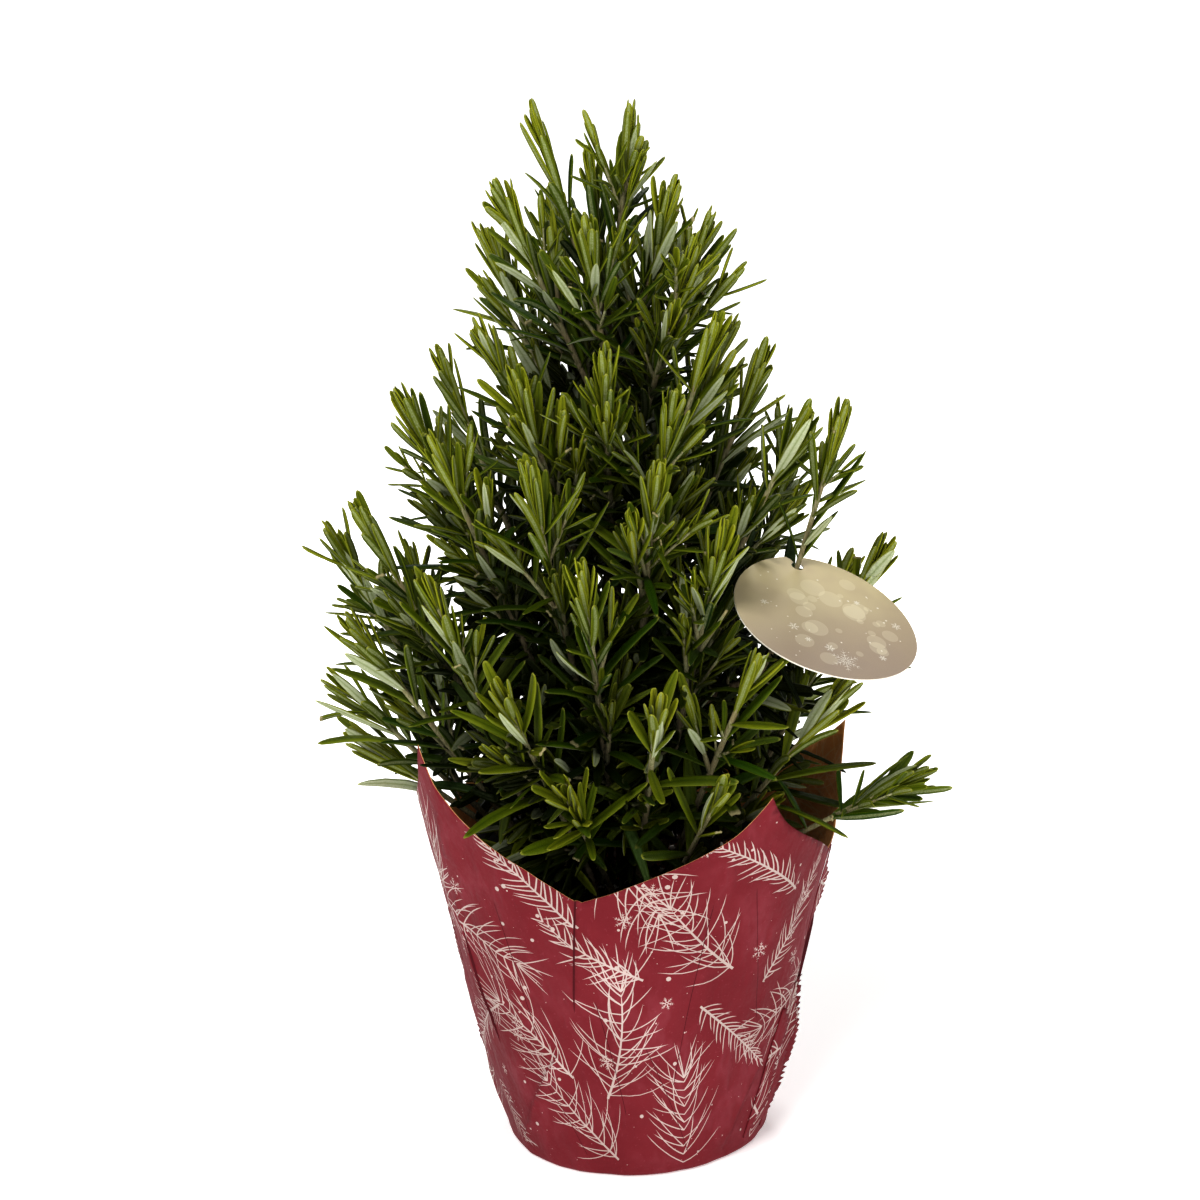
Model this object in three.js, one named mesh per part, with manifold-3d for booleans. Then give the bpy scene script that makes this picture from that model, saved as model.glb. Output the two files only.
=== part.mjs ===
// A cone-trained rosemary in a grower's pot, inside a formed paper pot cover, with a round card tag
// hooked on one stem. Millimetres, +Z up. The origin is the middle of the cover's flat foot, and the
// side that faces the viewer is -Y. Azimuths are in degrees from that side, positive to its right (+X).
import * as THREE from "three";
import { mergeVertices } from "three/addons/utils/BufferGeometryUtils.js";
import Module from "manifold-3d";

const wasm = await Module();
wasm.setup();

// ---- Driving dimensions ----
const GAP = 0.3; // between pieces that touch

const COVER = {
  wall: 0.9,
  footRadius: 52,
  slope: 0.2254, // how fast the wall widens as it rises
  tilt: 0.02, // how far its axis leans along X as it rises
  cornerRise: 3, // the rounded edge of the foot
  leanFrom: 95, // the height where the points start to lean
  leanOver: 60,
  edgeStraight: 0.7, // share of the climb to a point that is straight
  spikeWidth: 0.12, // how close to the point the rest is, as a share of the way to the dip
  widestSpan: 65, // no point and dip that belong together are further apart
};
// The paper's four corners stand up as points that lean out a little, and its edges dip between them.
const POINTS = [
  { azimuth: 35, height: 157, lean: 2 },
  { azimuth: 108, height: 156, lean: 6 },
  { azimuth: 206, height: 158, lean: 3 },
  { azimuth: 297, height: 174, lean: -2 },
];
const DIPS = [
  { azimuth: 74, height: 119, lean: 3 },
  { azimuth: 158, height: 123, lean: 0 },
  { azimuth: 250, height: 124, lean: 0 },
  { azimuth: 346, height: 122, lean: 0 },
];
// Where columns of the cover stand between a point (0) and a dip (1).
const COVER_COLUMNS = [0, 0.1, 0.28, 0.62];
const COVER_ROWS = [0, 0.35, 0.68, 0.87, 1];

const POT = {
  height: 112,
  footRadius: 46.5,
  topRadius: 70.5,
  wall: 1.6,
  floor: 2,
  rimOut: 2.2,
  rimHeight: 11,
  drainRadius: 4.5,
  drainCircle: 32,
  drainCount: 4,
  sides: 24,
};
const SOIL = { top: 103, edgeDrop: 3, depth: 92 };

const TRUNK = {
  foot: 66,
  top: 338,
  footRadius: 4.6,
  topRadius: 1.6,
  lean: 3, // the top's offset along X
  bow: 3, // sideways wander of the stem
  steps: 9,
  sides: 6,
};
const STEM = {
  footDrop: 42, // from a stem's end down to its foot on the trunk
  footDropByReach: 0.78, // and this much more for each millimetre of reach
  leastOut: 9, // how far a stem first heads out from the trunk
  footRadius: 2.1, // to a corner of the square stem
  leafyRadius: 1.75,
  bends: 3, // straight runs below the leafy one
  pathSteps: 40,
  root: 17, // how deep a low stem stands in the soil
  soilCircle: 14, // how far out the innermost of those stand
  clear: 0.5, // between two stems
  tipRise: 14, // from the stem's end up to its topmost leaf tips
  tipReach: 4, // and out to them
};
const NEEDLE = {
  length: 30,
  width: 3.4,
  thick: 1.4,
  widestAt: 0.6,
  arch: 0.06, // how far the widest place bows back, as a share of the length
  rootShare: 0.45, // how wide the root is beside the widest place
  fromEnd: 6, // the last pair's distance from the stem's end
  pairs: 8,
  leafyLength: 84,
  clear: 0.35,
};
const TAG = {
  radius: 35,
  thick: 0.8,
  stem: 26, // the leafy stem it hooks round
  hookFromTip: 50, // how far below that stem's end
  normal: [0.316, -0.391, 0.865],
  towardsHook: [-0.29, 0.86, 0.42],
  holeRadius: 2.4,
  holeInset: 5.5,
  slit: 1.6,
  sides: 32,
  holeSides: 10,
};

// Every leafy stem by where its topmost leaves end: azimuth, reach from the Z axis, and height. A
// fourth number bulges a stem's middle outward.
const SHOOTS = [
  // the crown
  [-90, 21, 405], [78, 18, 402], [180, 14, 388], [-4, 33, 367], [-62, 38, 379], [62, 34, 377],
  [92, 43, 364], [48, 47, 357], [128, 38, 372], [-152, 36, 374], [-112, 44, 362], [170, 45, 352],
  // the upper half
  [-54, 53, 331], [1, 60, 322], [-29, 63, 316], [42, 61, 330], [84, 62, 314], [22, 67, 307],
  [125, 62, 322], [165, 66, 308], [-155, 62, 318], [-105, 64, 316],
  // the widest part
  [-62, 82, 309], [-46, 84, 294], [62, 82, 296], [66, 96, 294, 17], [12, 82, 285], [-20, 81, 286],
  [27, 88, 262], [-67, 99, 268], [-84, 106, 256], [108, 84, 284], [145, 86, 268], [-172, 84, 280],
  [-128, 86, 276], [-6, 93, 252], [84, 104, 240], [-42, 97, 246],
  // the skirt
  [-66, 103, 226], [-88, 104, 196], [-24, 98, 212], [8, 96, 205], [30, 98, 218], [110, 100, 222],
  [148, 98, 208], [-165, 96, 214], [-118, 100, 220], [56, 96, 196], [68, 114, 163], [-14, 86, 176],
  [24, 84, 168], [-96, 98, 170], [130, 98, 168],
];

const DEG = Math.PI / 180;
const UP = new THREE.Vector3(0, 0, 1);

// ---- Small helpers ----

// The same draws each time: a linear congruential generator.
function randomFrom(seed) {
  let state = seed;
  return () => {
    state = (state * 1664525 + 1013904223) % 4294967296;
    return state / 4294967296;
  };
}

function outward(azimuth) {
  return new THREE.Vector3(Math.sin(azimuth * DEG), -Math.cos(azimuth * DEG), 0);
}

function solidOf(geometry) {
  const bare = new THREE.BufferGeometry();
  bare.setAttribute("position", geometry.getAttribute("position"));
  if (geometry.index) bare.setIndex(geometry.index);
  const merged = mergeVertices(bare, 1e-4);
  return new wasm.Manifold(
    new wasm.Mesh({
      numProp: 3,
      vertProperties: new Float32Array(merged.getAttribute("position").array),
      triVerts: new Uint32Array(merged.index.array),
    }),
  );
}

// The largest body of a solid that a cut may have left in pieces.
function largestOf(solid) {
  return solid.decompose().reduce((a, b) => (a.volume() > b.volume() ? a : b));
}

function geometryOf(solid) {
  const mesh = solid.getMesh();
  const geometry = new THREE.BufferGeometry();
  geometry.setAttribute("position", new THREE.BufferAttribute(mesh.vertProperties, 3));
  geometry.setIndex(new THREE.BufferAttribute(mesh.triVerts, 1));
  const flat = geometry.toNonIndexed();
  flat.computeVertexNormals();
  return flat;
}

// A closed skin over rings of points, all with the same number of points, capped at both ends.
function skin(rings) {
  const sides = rings[0].length;
  const positions = rings.flat().flatMap((p) => [p.x, p.y, p.z]);
  const faces = [];
  for (let k = 0; k + 1 < rings.length; k++) {
    for (let i = 0; i < sides; i++) {
      const a = k * sides + i;
      const b = k * sides + ((i + 1) % sides);
      faces.push(a, b, b + sides, a, b + sides, a + sides);
    }
  }
  const last = (rings.length - 1) * sides;
  for (let i = 1; i + 1 < sides; i++) {
    faces.push(0, i + 1, i);
    faces.push(last, last + i, last + i + 1);
  }
  const geometry = new THREE.BufferGeometry();
  geometry.setAttribute("position", new THREE.Float32BufferAttribute(positions, 3));
  geometry.setIndex(faces);
  return geometry;
}

// The frame of a straight run: its origin, then X and Y square to it and Z along it.
function frameOf(from, to, roll) {
  const along = to.clone().sub(from).normalize();
  const across = new THREE.Vector3(1, 0, 0).addScaledVector(along, -along.x).normalize();
  across.applyAxisAngle(along, roll * DEG);
  return new THREE.Matrix4().makeBasis(across, along.clone().cross(across), along).setPosition(from);
}

// A tapering stem along points. Each ring stands square to the path, corners first at `roll`.
function stemSolid(points, radii, sides, roll) {
  const last = points.length - 1;
  const rings = points.map((point, k) => {
    const [before, after] = k < last - 1 ? [Math.max(k - 1, 0), k + 1] : [last - 1, last];
    const frame = frameOf(points[before], points[after], roll).setPosition(point);
    return Array.from({ length: sides }, (_, i) => {
      const turn = (2 * Math.PI * (i + 0.5)) / sides;
      return new THREE.Vector3(Math.cos(turn), Math.sin(turn), 0)
        .multiplyScalar(radii[k])
        .applyMatrix4(frame);
    });
  });
  return solidOf(skin(rings));
}

// The least distance between two straight pieces, each given by its two ends.
function distanceBetween(a, b) {
  const [p, q] = a;
  const [r, s] = b;
  const d1 = q.clone().sub(p);
  const d2 = s.clone().sub(r);
  const w = p.clone().sub(r);
  const aa = d1.dot(d1);
  const ee = d2.dot(d2);
  const ff = d2.dot(w);
  const cc = d1.dot(w);
  const bb = d1.dot(d2);
  const denominator = aa * ee - bb * bb;
  let u = denominator > 1e-9 ? THREE.MathUtils.clamp((bb * ff - cc * ee) / denominator, 0, 1) : 0;
  const v = THREE.MathUtils.clamp((bb * u + ff) / ee, 0, 1);
  u = THREE.MathUtils.clamp((bb * v - cc) / aa, 0, 1);
  return p.clone().addScaledVector(d1, u).distanceTo(r.clone().addScaledVector(d2, v));
}

// ---- The paper cover ----

// The top edge between a point and a dip: its height, and how far it leans out there.
function edgeAt(azimuth) {
  const turned = (az, from) => (((az - from) % 360) + 360) % 360;
  let best = null;
  for (const point of POINTS) {
    for (const dip of DIPS) {
      for (const way of [1, -1]) {
        const span = turned(way * dip.azimuth, way * point.azimuth);
        const here = turned(way * azimuth, way * point.azimuth);
        if (span < COVER.widestSpan && here <= span) best = { point, dip, t: here / span };
      }
    }
  }
  const spike = (1 - COVER.edgeStraight) * Math.exp(-best.t / COVER.spikeWidth);
  const share = COVER.edgeStraight * (1 - best.t) + spike;
  return {
    height: best.dip.height + (best.point.height - best.dip.height) * share,
    lean: best.dip.lean + (best.point.lean - best.dip.lean) * share,
  };
}

function coverRadius(azimuth, z) {
  const rise = Math.max(z - COVER.leanFrom, 0) / COVER.leanOver;
  return COVER.footRadius + COVER.slope * z + edgeAt(azimuth).lean * rise ** 1.5;
}

function coverColumns() {
  const columns = [];
  for (const point of POINTS) {
    for (const dip of DIPS) {
      const gap = ((((dip.azimuth - point.azimuth) % 360) + 540) % 360) - 180;
      if (Math.abs(gap) > COVER.widestSpan) continue;
      for (const t of COVER_COLUMNS) if (t > 0 || gap > 0) columns.push(point.azimuth + gap * t);
      if (gap > 0) columns.push(dip.azimuth);
    }
  }
  return columns.map((a) => ((a % 360) + 360) % 360).sort((a, b) => a - b);
}

function coverSolid() {
  const columns = coverColumns();
  const ring = (inset, share, floor) =>
    columns.map((azimuth) => {
      const z = floor + (edgeAt(azimuth).height - floor) * share;
      const wall = outward(azimuth).multiplyScalar(coverRadius(azimuth, z) - inset).setZ(z);
      wall.x += COVER.tilt * z;
      return wall;
    });
  const foot = columns.map((azimuth) =>
    outward(azimuth).multiplyScalar(COVER.footRadius - COVER.cornerRise),
  );
  const outside = COVER_ROWS.map((share) => ring(0, share, COVER.cornerRise));
  const inside = COVER_ROWS.map((share) => ring(COVER.wall, share, COVER.cornerRise)).reverse();
  const floor = columns.map((azimuth) =>
    outward(azimuth).multiplyScalar(COVER.footRadius - COVER.cornerRise - COVER.wall).setZ(COVER.wall),
  );
  return solidOf(skin([foot, ...outside, ...inside, floor]));
}

// ---- The grower's pot and its soil ----

function lathe(profile, sides) {
  const geometry = new THREE.LatheGeometry(profile.map(([r, z]) => new THREE.Vector2(r, z)), sides);
  geometry.rotateX(Math.PI / 2);
  return solidOf(geometry);
}

const potFoot = COVER.wall + GAP;

function potRadius(z) {
  return POT.footRadius + ((POT.topRadius - POT.footRadius) * (z - potFoot)) / POT.height;
}

function potSolid() {
  const top = potFoot + POT.height;
  const shoulder = top - POT.rimHeight;
  const floor = potFoot + POT.floor;
  const pot = lathe(
    [
      [0, potFoot],
      [POT.footRadius, potFoot],
      [potRadius(shoulder), shoulder],
      [potRadius(shoulder) + POT.rimOut, shoulder + 1],
      [potRadius(top) + POT.rimOut, top],
      [potRadius(top) - POT.wall, top],
      [potRadius(floor) - POT.wall, floor],
      [0, floor],
    ],
    POT.sides,
  );
  const drains = Array.from({ length: POT.drainCount }, (_, i) => {
    const hole = new THREE.CylinderGeometry(POT.drainRadius, POT.drainRadius, 4 * POT.floor, 8);
    hole.rotateX(Math.PI / 2);
    const at = outward((360 / POT.drainCount) * (i + 0.5)).multiplyScalar(POT.drainCircle);
    hole.translate(at.x, at.y, potFoot + POT.floor / 2);
    return solidOf(hole);
  });
  return pot.subtract(wasm.Manifold.union(drains));
}

function soilSolid(holes) {
  const inner = (z) => potRadius(z) - POT.wall - GAP;
  const low = SOIL.top - SOIL.depth;
  const edge = SOIL.top - SOIL.edgeDrop;
  const soil = lathe(
    [
      [0, low],
      [inner(low), low],
      [inner(edge), edge],
      [inner(edge) * 0.7, SOIL.top - 1],
      [inner(edge) * 0.35, SOIL.top],
      [0, SOIL.top + 0.5],
    ],
    POT.sides,
  );
  return soil.subtract(wasm.Manifold.union(holes));
}

function soilHole(at, radius, foot) {
  const height = SOIL.top + 10 - foot;
  const hole = new THREE.CylinderGeometry(radius + 2 * GAP, radius + 2 * GAP, height, 8);
  hole.rotateX(Math.PI / 2);
  hole.translate(at.x, at.y, foot - GAP + height / 2);
  return solidOf(hole);
}

// ---- The woody stem ----

function axisAt(z) {
  const share = Math.max(z - SOIL.top, 0) / (TRUNK.top - SOIL.top);
  return new THREE.Vector3(
    TRUNK.lean * share + TRUNK.bow * Math.sin(3.1 * share * Math.PI) * share * (1 - 0.6 * share),
    TRUNK.bow * Math.sin(2.3 * share * Math.PI) * share * (1 - 0.6 * share),
    z,
  );
}

function trunkRadius(z) {
  const share = (z - TRUNK.foot) / (TRUNK.top - TRUNK.foot);
  return TRUNK.footRadius + (TRUNK.topRadius - TRUNK.footRadius) * share;
}

function trunkSolid(extra) {
  const points = [axisAt(TRUNK.foot - extra)];
  for (let k = 0; k <= TRUNK.steps; k++) {
    points.push(axisAt(SOIL.top - 2 + ((TRUNK.top + extra - SOIL.top + 2) * k) / TRUNK.steps));
  }
  const grown = extra / Math.cos(Math.PI / TRUNK.sides);
  return stemSolid(points, points.map((p) => trunkRadius(p.z) + grown), TRUNK.sides, 0);
}

// ---- The leafy stems ----

// The path of a stem from its foot, on the trunk or in the soil, to its growing tip, as points along
// a cubic curve. `shift` moves the foot up or down the trunk, or out from the middle of the soil.
function shootPath([azimuth, reach, height, bulge = 0], turn, shift) {
  const out = outward(azimuth + turn);
  const endHeight = height - STEM.tipRise;
  const end = out.clone().multiplyScalar(reach - STEM.tipReach).setZ(endHeight);
  const wanted = endHeight - STEM.footDrop - STEM.footDropByReach * reach;
  const inSoil = wanted < SOIL.top + STEM.leastOut;
  const trunkFoot = Math.min(wanted, TRUNK.top - STEM.leastOut) + shift;
  const foot = inSoil
    ? out.clone().multiplyScalar(STEM.soilCircle + 0.42 * (reach - 60) + shift).setZ(SOIL.top)
    : axisAt(trunkFoot).addScaledVector(out, 0.7 * trunkRadius(trunkFoot));
  const rise = end.z - foot.z;
  const run = Math.hypot(end.x - foot.x, end.y - foot.y);
  const leave = inSoil
    ? foot.clone().addScaledVector(UP, 0.38 * rise).addScaledVector(out, 0.1 * run)
    : foot
        .clone()
        .addScaledVector(out, bulge + Math.max(0.5 * run, STEM.leastOut))
        .addScaledVector(UP, 0.18 * rise);
  const arrive = end
    .clone()
    .addScaledVector(UP, -0.42 * rise)
    .addScaledVector(out, bulge - 0.06 * run);
  const points = Array.from({ length: STEM.pathSteps + 1 }, (_, k) => {
    const t = k / STEM.pathSteps;
    return new THREE.Vector3()
      .addScaledVector(foot, (1 - t) ** 3)
      .addScaledVector(leave, 3 * t * (1 - t) ** 2)
      .addScaledVector(arrive, 3 * t * t * (1 - t))
      .addScaledVector(end, t ** 3);
  });
  return { points, inSoil, foot };
}

// The point a given distance along a path.
function pointAlong(points, distance) {
  let left = Math.max(distance, 0);
  for (let k = 0; k + 1 < points.length; k++) {
    const step = points[k].distanceTo(points[k + 1]);
    if (left <= step) return points[k].clone().lerp(points[k + 1], left / step);
    left -= step;
  }
  return points[points.length - 1].clone();
}

// The stem's corners: a few bends from its foot, then one straight leafy run.
function stemCorners(path) {
  const length = path.points.slice(1).reduce((sum, p, k) => sum + p.distanceTo(path.points[k]), 0);
  const bend = length - Math.min(NEEDLE.leafyLength, length * 0.8) - NEEDLE.fromEnd;
  const corners = [];
  for (let k = 0; k <= STEM.bends; k++) corners.push(pointAlong(path.points, (bend * k) / STEM.bends));
  corners.push(path.points[STEM.pathSteps]);
  if (path.inSoil) corners.unshift(path.foot.clone().setZ(SOIL.top - STEM.root));
  return corners;
}

function stemRadii(count) {
  return Array.from({ length: count }, (_, k) => {
    return THREE.MathUtils.lerp(STEM.footRadius, STEM.leafyRadius, Math.min(k / (count - 2), 1));
  });
}

// A three-sided blade from a root on the stem's Z axis, arched back along it. `turn` goes round the
// stem and `tilt` away from it. The blade lies flat across its tilt, its ridge on the inner side.
function needleAt(rootHeight, turn, tilt, length) {
  const out = new THREE.Vector3(Math.cos(turn * DEG), Math.sin(turn * DEG), 0);
  const flat = new THREE.Vector3(-out.y, out.x, 0);
  const direction = out.clone().multiplyScalar(Math.sin(tilt * DEG)).setZ(Math.cos(tilt * DEG));
  const ridge = flat.clone().cross(direction);
  const root = new THREE.Vector3(0, 0, rootHeight);
  const at = (share, arch) =>
    root.clone().addScaledVector(direction, length * share).addScaledVector(ridge, length * arch);
  return { root, middle: at(NEEDLE.widestAt, NEEDLE.arch), tip: at(1, 0), direction, flat, ridge };
}

function needleSolid({ root, middle, tip, flat, ridge }, width) {
  const section = (at, share) =>
    [[-0.5, -0.4], [0.5, -0.4], [0, 0.6]].map(([sideways, over]) =>
      at
        .clone()
        .addScaledVector(flat, width * sideways * share)
        .addScaledVector(ridge, NEEDLE.thick * over * share),
    );
  const corners = [...section(root, NEEDLE.rootShare), ...section(middle, 1), tip];
  const faces = [0, 1, 2];
  for (let i = 0; i < 3; i++) {
    const j = (i + 1) % 3;
    faces.push(i, 3 + j, j, i, 3 + i, 3 + j, 3 + i, 6, 3 + j);
  }
  const geometry = new THREE.BufferGeometry();
  const positions = corners.flatMap((p) => [p.x, p.y, p.z]);
  geometry.setAttribute("position", new THREE.Float32BufferAttribute(positions, 3));
  geometry.setIndex(faces);
  return solidOf(geometry);
}

// ---- What a needle must stay clear of ----

const tagNormal = new THREE.Vector3(...TAG.normal).normalize();
const tagUp = new THREE.Vector3(...TAG.towardsHook);
tagUp.addScaledVector(tagNormal, -tagUp.dot(tagNormal)).normalize();
const taken = []; // { owner, ends: [from, to], radius } of every stem and needle placed so far

function clearOfHolder(point, radius) {
  const r = Math.hypot(point.x, point.y);
  const x = point.x - COVER.tilt * point.z;
  const azimuth = Math.atan2(x, -point.y) / DEG;
  const fromWall = Math.abs(Math.hypot(x, point.y) - coverRadius(azimuth, point.z));
  const margin = radius + COVER.wall + GAP;
  if (point.z < edgeAt(azimuth).height + margin && fromWall < margin + 1) return false;
  const overSoil = r < POT.topRadius - 4;
  const overRim = !overSoil && r < POT.topRadius + 6;
  if (overSoil && point.z < SOIL.top + radius + 1) return false;
  return !overRim || point.z > potFoot + POT.height + margin;
}

function clearOfTag(point, radius) {
  if (!tagCentre) return true;
  const from = point.clone().sub(tagCentre);
  const above = Math.abs(from.dot(tagNormal));
  return above > radius + TAG.thick + GAP || from.length() > TAG.radius + radius + 1;
}

function pointsAlong([from, to]) {
  const steps = Math.ceil(from.distanceTo(to) / 1.5);
  return Array.from({ length: steps + 1 }, (_, k) => from.clone().lerp(to, k / steps));
}

function isClear(owner, ends, radius) {
  const free = (point) => clearOfHolder(point, radius) && clearOfTag(point, radius);
  if (!pointsAlong(ends).every(free)) return false;
  return taken.every(
    (other) =>
      other.owner === owner || distanceBetween(ends, other.ends) > radius + other.radius + NEEDLE.clear,
  );
}

// Tries places near the first choice until the stem is clear of the tag and of those placed before.
const STEM_TRIES = [0, 7, -7, 14, -14].flatMap((turn) =>
  [0, 6, -6, 12, -12, 18, -18, 24, -24, 30, -30].map((shift) => [turn, shift]),
);

function placeStem(tip, owner) {
  for (const [turn, shift] of STEM_TRIES) {
    const path = shootPath(tip, turn, shift);
    const points = stemCorners(path);
    const radii = stemRadii(points.length);
    const spans = points.slice(1).map((point, k) => [points[k], point]);
    const room = (k) => radii[k] + STEM.clear;
    const clear = spans.every(
      (ends, k) =>
        taken.every((other) => distanceBetween(ends, other.ends) > room(k) + other.radius) &&
        pointsAlong(ends).every((point) => clearOfTag(point, room(k))),
    );
    if (!clear) continue;
    spans.forEach((ends, k) => taken.push({ owner, ends, radius: radii[k] }));
    return { path, points, radii };
  }
  throw new Error("no clear place for stem " + (owner + 1));
}

// Each shoot's square stem is turned a little more than the one before.
function rollOf(index) {
  return (37 * index) % 90;
}

// Places a shoot's needles in crossed pairs along its leafy run, in the run's own frame.
function needlesOf(index, frame, run) {
  const random = randomFrom(977 + 131 * index);
  const made = [];
  for (let pair = 0; pair < NEEDLE.pairs; pair++) {
    const share = pair / (NEEDLE.pairs - 1);
    const root = THREE.MathUtils.lerp(2, run - NEEDLE.fromEnd, share);
    const size = NEEDLE.length * (1 + 0.12 * Math.sin(Math.PI * share) - 0.36 * share ** 4);
    const spread = 76 - 52 * share ** 1.2;
    for (const side of [0, 180]) {
      const turn = pair * 90 + side + 12 * (random() - 0.5);
      const tilt = spread + 14 * (random() - 0.5);
      const long = size * (0.9 + 0.2 * random());
      for (const [turnBy, tiltBy, lengthBy] of NEEDLE_TRIES) {
        const needle = needleAt(root, turn + turnBy, tilt + tiltBy, long * lengthBy);
        const width = NEEDLE.width * (0.8 + 0.2 * lengthBy);
        const outer = needle.root.clone().addScaledVector(needle.direction, STEM.leafyRadius + 0.5);
        const corners = [outer, needle.middle, needle.tip].map((p) => p.clone().applyMatrix4(frame));
        const spans = [corners.slice(0, 2), corners.slice(1)];
        if (!spans.every((ends) => isClear(index, ends, width / 2))) continue;
        made.push(needleSolid(needle, width));
        for (const ends of spans) taken.push({ owner: index, ends, radius: width / 2 });
        break;
      }
    }
  }
  return made;
}

// Turns, tilts and lengths tried in order, until a needle is clear of every other piece.
const NEEDLE_TRIES = [1, 0.8].flatMap((long) =>
  [0, 14, -14, 28, -28].flatMap((turn) => [0, -13, 13, 24].map((tilt) => [turn, tilt, long])),
);

// ---- The card tag ----

function tagSolid() {
  const arc = (centre, radius, from, to, count) =>
    Array.from({ length: count + 1 }, (_, i) => {
      const turn = from + ((to - from) * i) / count;
      return new THREE.Vector2(radius * Math.cos(turn), centre + radius * Math.sin(turn));
    });
  const top = Math.PI / 2;
  const mouth = Math.asin(TAG.slit / 2 / TAG.radius);
  const neck = Math.asin(TAG.slit / 2 / TAG.holeRadius);
  const holeAt = TAG.radius - TAG.holeInset;
  const outline = [
    ...arc(0, TAG.radius, top + mouth, top - mouth + 2 * Math.PI, TAG.sides),
    ...arc(holeAt, TAG.holeRadius, top - neck, top + neck - 2 * Math.PI, TAG.holeSides),
  ];
  const geometry = new THREE.ExtrudeGeometry(new THREE.Shape(outline), {
    depth: TAG.thick,
    bevelEnabled: false,
  });
  geometry.translate(0, 0, -TAG.thick / 2);
  const basis = new THREE.Matrix4().makeBasis(tagUp.clone().cross(tagNormal), tagUp, tagNormal);
  geometry.applyMatrix4(basis.setPosition(tagCentre));
  return solidOf(geometry);
}

// ---- Materials and assembly ----

const LOOKS = {
  paper: new THREE.MeshStandardMaterial({ color: 0x8a2a36, roughness: 0.7, metalness: 0 }),
  plastic: new THREE.MeshStandardMaterial({ color: 0x2b2b2b, roughness: 0.6, metalness: 0 }),
  soil: new THREE.MeshStandardMaterial({ color: 0x2a1d14, roughness: 1, metalness: 0 }),
  bark: new THREE.MeshStandardMaterial({ color: 0x6f5f48, roughness: 0.9, metalness: 0 }),
  leaf: new THREE.MeshStandardMaterial({ color: 0x3d5a1e, roughness: 0.5, metalness: 0 }),
  card: new THREE.MeshStandardMaterial({ color: 0xb9a98d, roughness: 0.35, metalness: 0 }),
};

const rosemary = new THREE.Group();

function add(name, solid, material) {
  const mesh = new THREE.Mesh(geometryOf(solid), material);
  mesh.name = name;
  rosemary.add(mesh);
}

// The tag's own stem comes first, then the tag, and the rest keep clear of both.
let tagCentre = null;
const hooked = placeStem(SHOOTS[TAG.stem - 1], TAG.stem - 1);
const [hookedBend, hookedEnd] = hooked.points.slice(-2);
const hookedRun = hookedBend.distanceTo(hookedEnd);
tagCentre = hookedEnd
  .clone()
  .lerp(hookedBend, TAG.hookFromTip / hookedRun)
  .addScaledVector(tagUp, TAG.holeInset - TAG.radius);
const shoots = SHOOTS.map((tip, index) => (index === TAG.stem - 1 ? hooked : placeStem(tip, index)));
for (let k = 0; k < TRUNK.steps; k++) {
  const step = (TRUNK.top - SOIL.top) / TRUNK.steps;
  const [low, high] = [k, k + 1].map((n) => axisAt(SOIL.top + step * n));
  taken.push({ owner: "trunk", ends: [low, high], radius: trunkRadius(low.z) });
}

const holes = [soilHole(axisAt(SOIL.top), TRUNK.footRadius, TRUNK.foot)];
for (const { path, radii } of shoots) {
  if (path.inSoil) holes.push(soilHole(path.foot, radii[0], SOIL.top - STEM.root));
}

add("cover", coverSolid(), LOOKS.paper);
add("grower_pot", potSolid(), LOOKS.plastic);
add("potting_soil", soilSolid(holes), LOOKS.soil);
add("trunk", trunkSolid(0), LOOKS.bark);
add("card_tag", tagSolid(), LOOKS.card);

const trunkRoom = trunkSolid(GAP);
shoots.forEach(({ path, points, radii }, index) => {
  const [bend, end] = points.slice(-2);
  const frame = frameOf(bend, end, rollOf(index));
  const inFrame = frame.clone().invert();
  const local = points.map((point) => point.clone().applyMatrix4(inFrame));
  const run = bend.distanceTo(end);
  const stem = stemSolid(local, radii, 4, 0);
  const leafy = wasm.Manifold.union([stem, ...needlesOf(index, frame, run)]).transform(frame.elements);
  const name = "shoot_" + String(index + 1).padStart(2, "0");
  add(name, path.inSoil ? leafy : largestOf(leafy.subtract(trunkRoom)), LOOKS.leaf);
});

export default rosemary;
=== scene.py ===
"""A cone-trained rosemary in its pot and printed paper cover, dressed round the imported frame.

Places and sizes are in millimetres while a piece is worked out, and its mesh is in metres. +Z is up
and -Y is the side that faces the camera. Azimuths are in degrees from that side, positive to +X.
"""
import math
from itertools import product

import bpy
import numpy as np
from mathutils import Matrix, Vector
from mathutils.geometry import delaunay_2d_cdt


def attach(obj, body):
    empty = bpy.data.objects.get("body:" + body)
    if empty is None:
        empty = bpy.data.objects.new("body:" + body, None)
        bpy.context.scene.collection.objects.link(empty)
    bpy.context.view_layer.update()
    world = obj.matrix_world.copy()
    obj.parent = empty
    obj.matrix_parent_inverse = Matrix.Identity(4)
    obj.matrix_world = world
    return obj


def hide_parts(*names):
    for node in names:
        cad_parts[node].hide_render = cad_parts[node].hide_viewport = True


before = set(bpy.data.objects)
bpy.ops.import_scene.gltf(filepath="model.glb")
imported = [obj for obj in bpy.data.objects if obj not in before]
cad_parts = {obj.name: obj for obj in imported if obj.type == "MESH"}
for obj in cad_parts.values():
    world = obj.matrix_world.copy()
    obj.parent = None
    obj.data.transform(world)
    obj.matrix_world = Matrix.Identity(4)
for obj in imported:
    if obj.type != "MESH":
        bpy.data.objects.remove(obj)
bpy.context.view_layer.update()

MM = 0.001
SEEDS = {"shoot": 4100, "trunk": 77, "print": 52, "flap": 600, "tag": 19, "soil": 31}
UP = np.array([0.0, 0.0, 1.0])

# ---- Camera, light and floor ----

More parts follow.
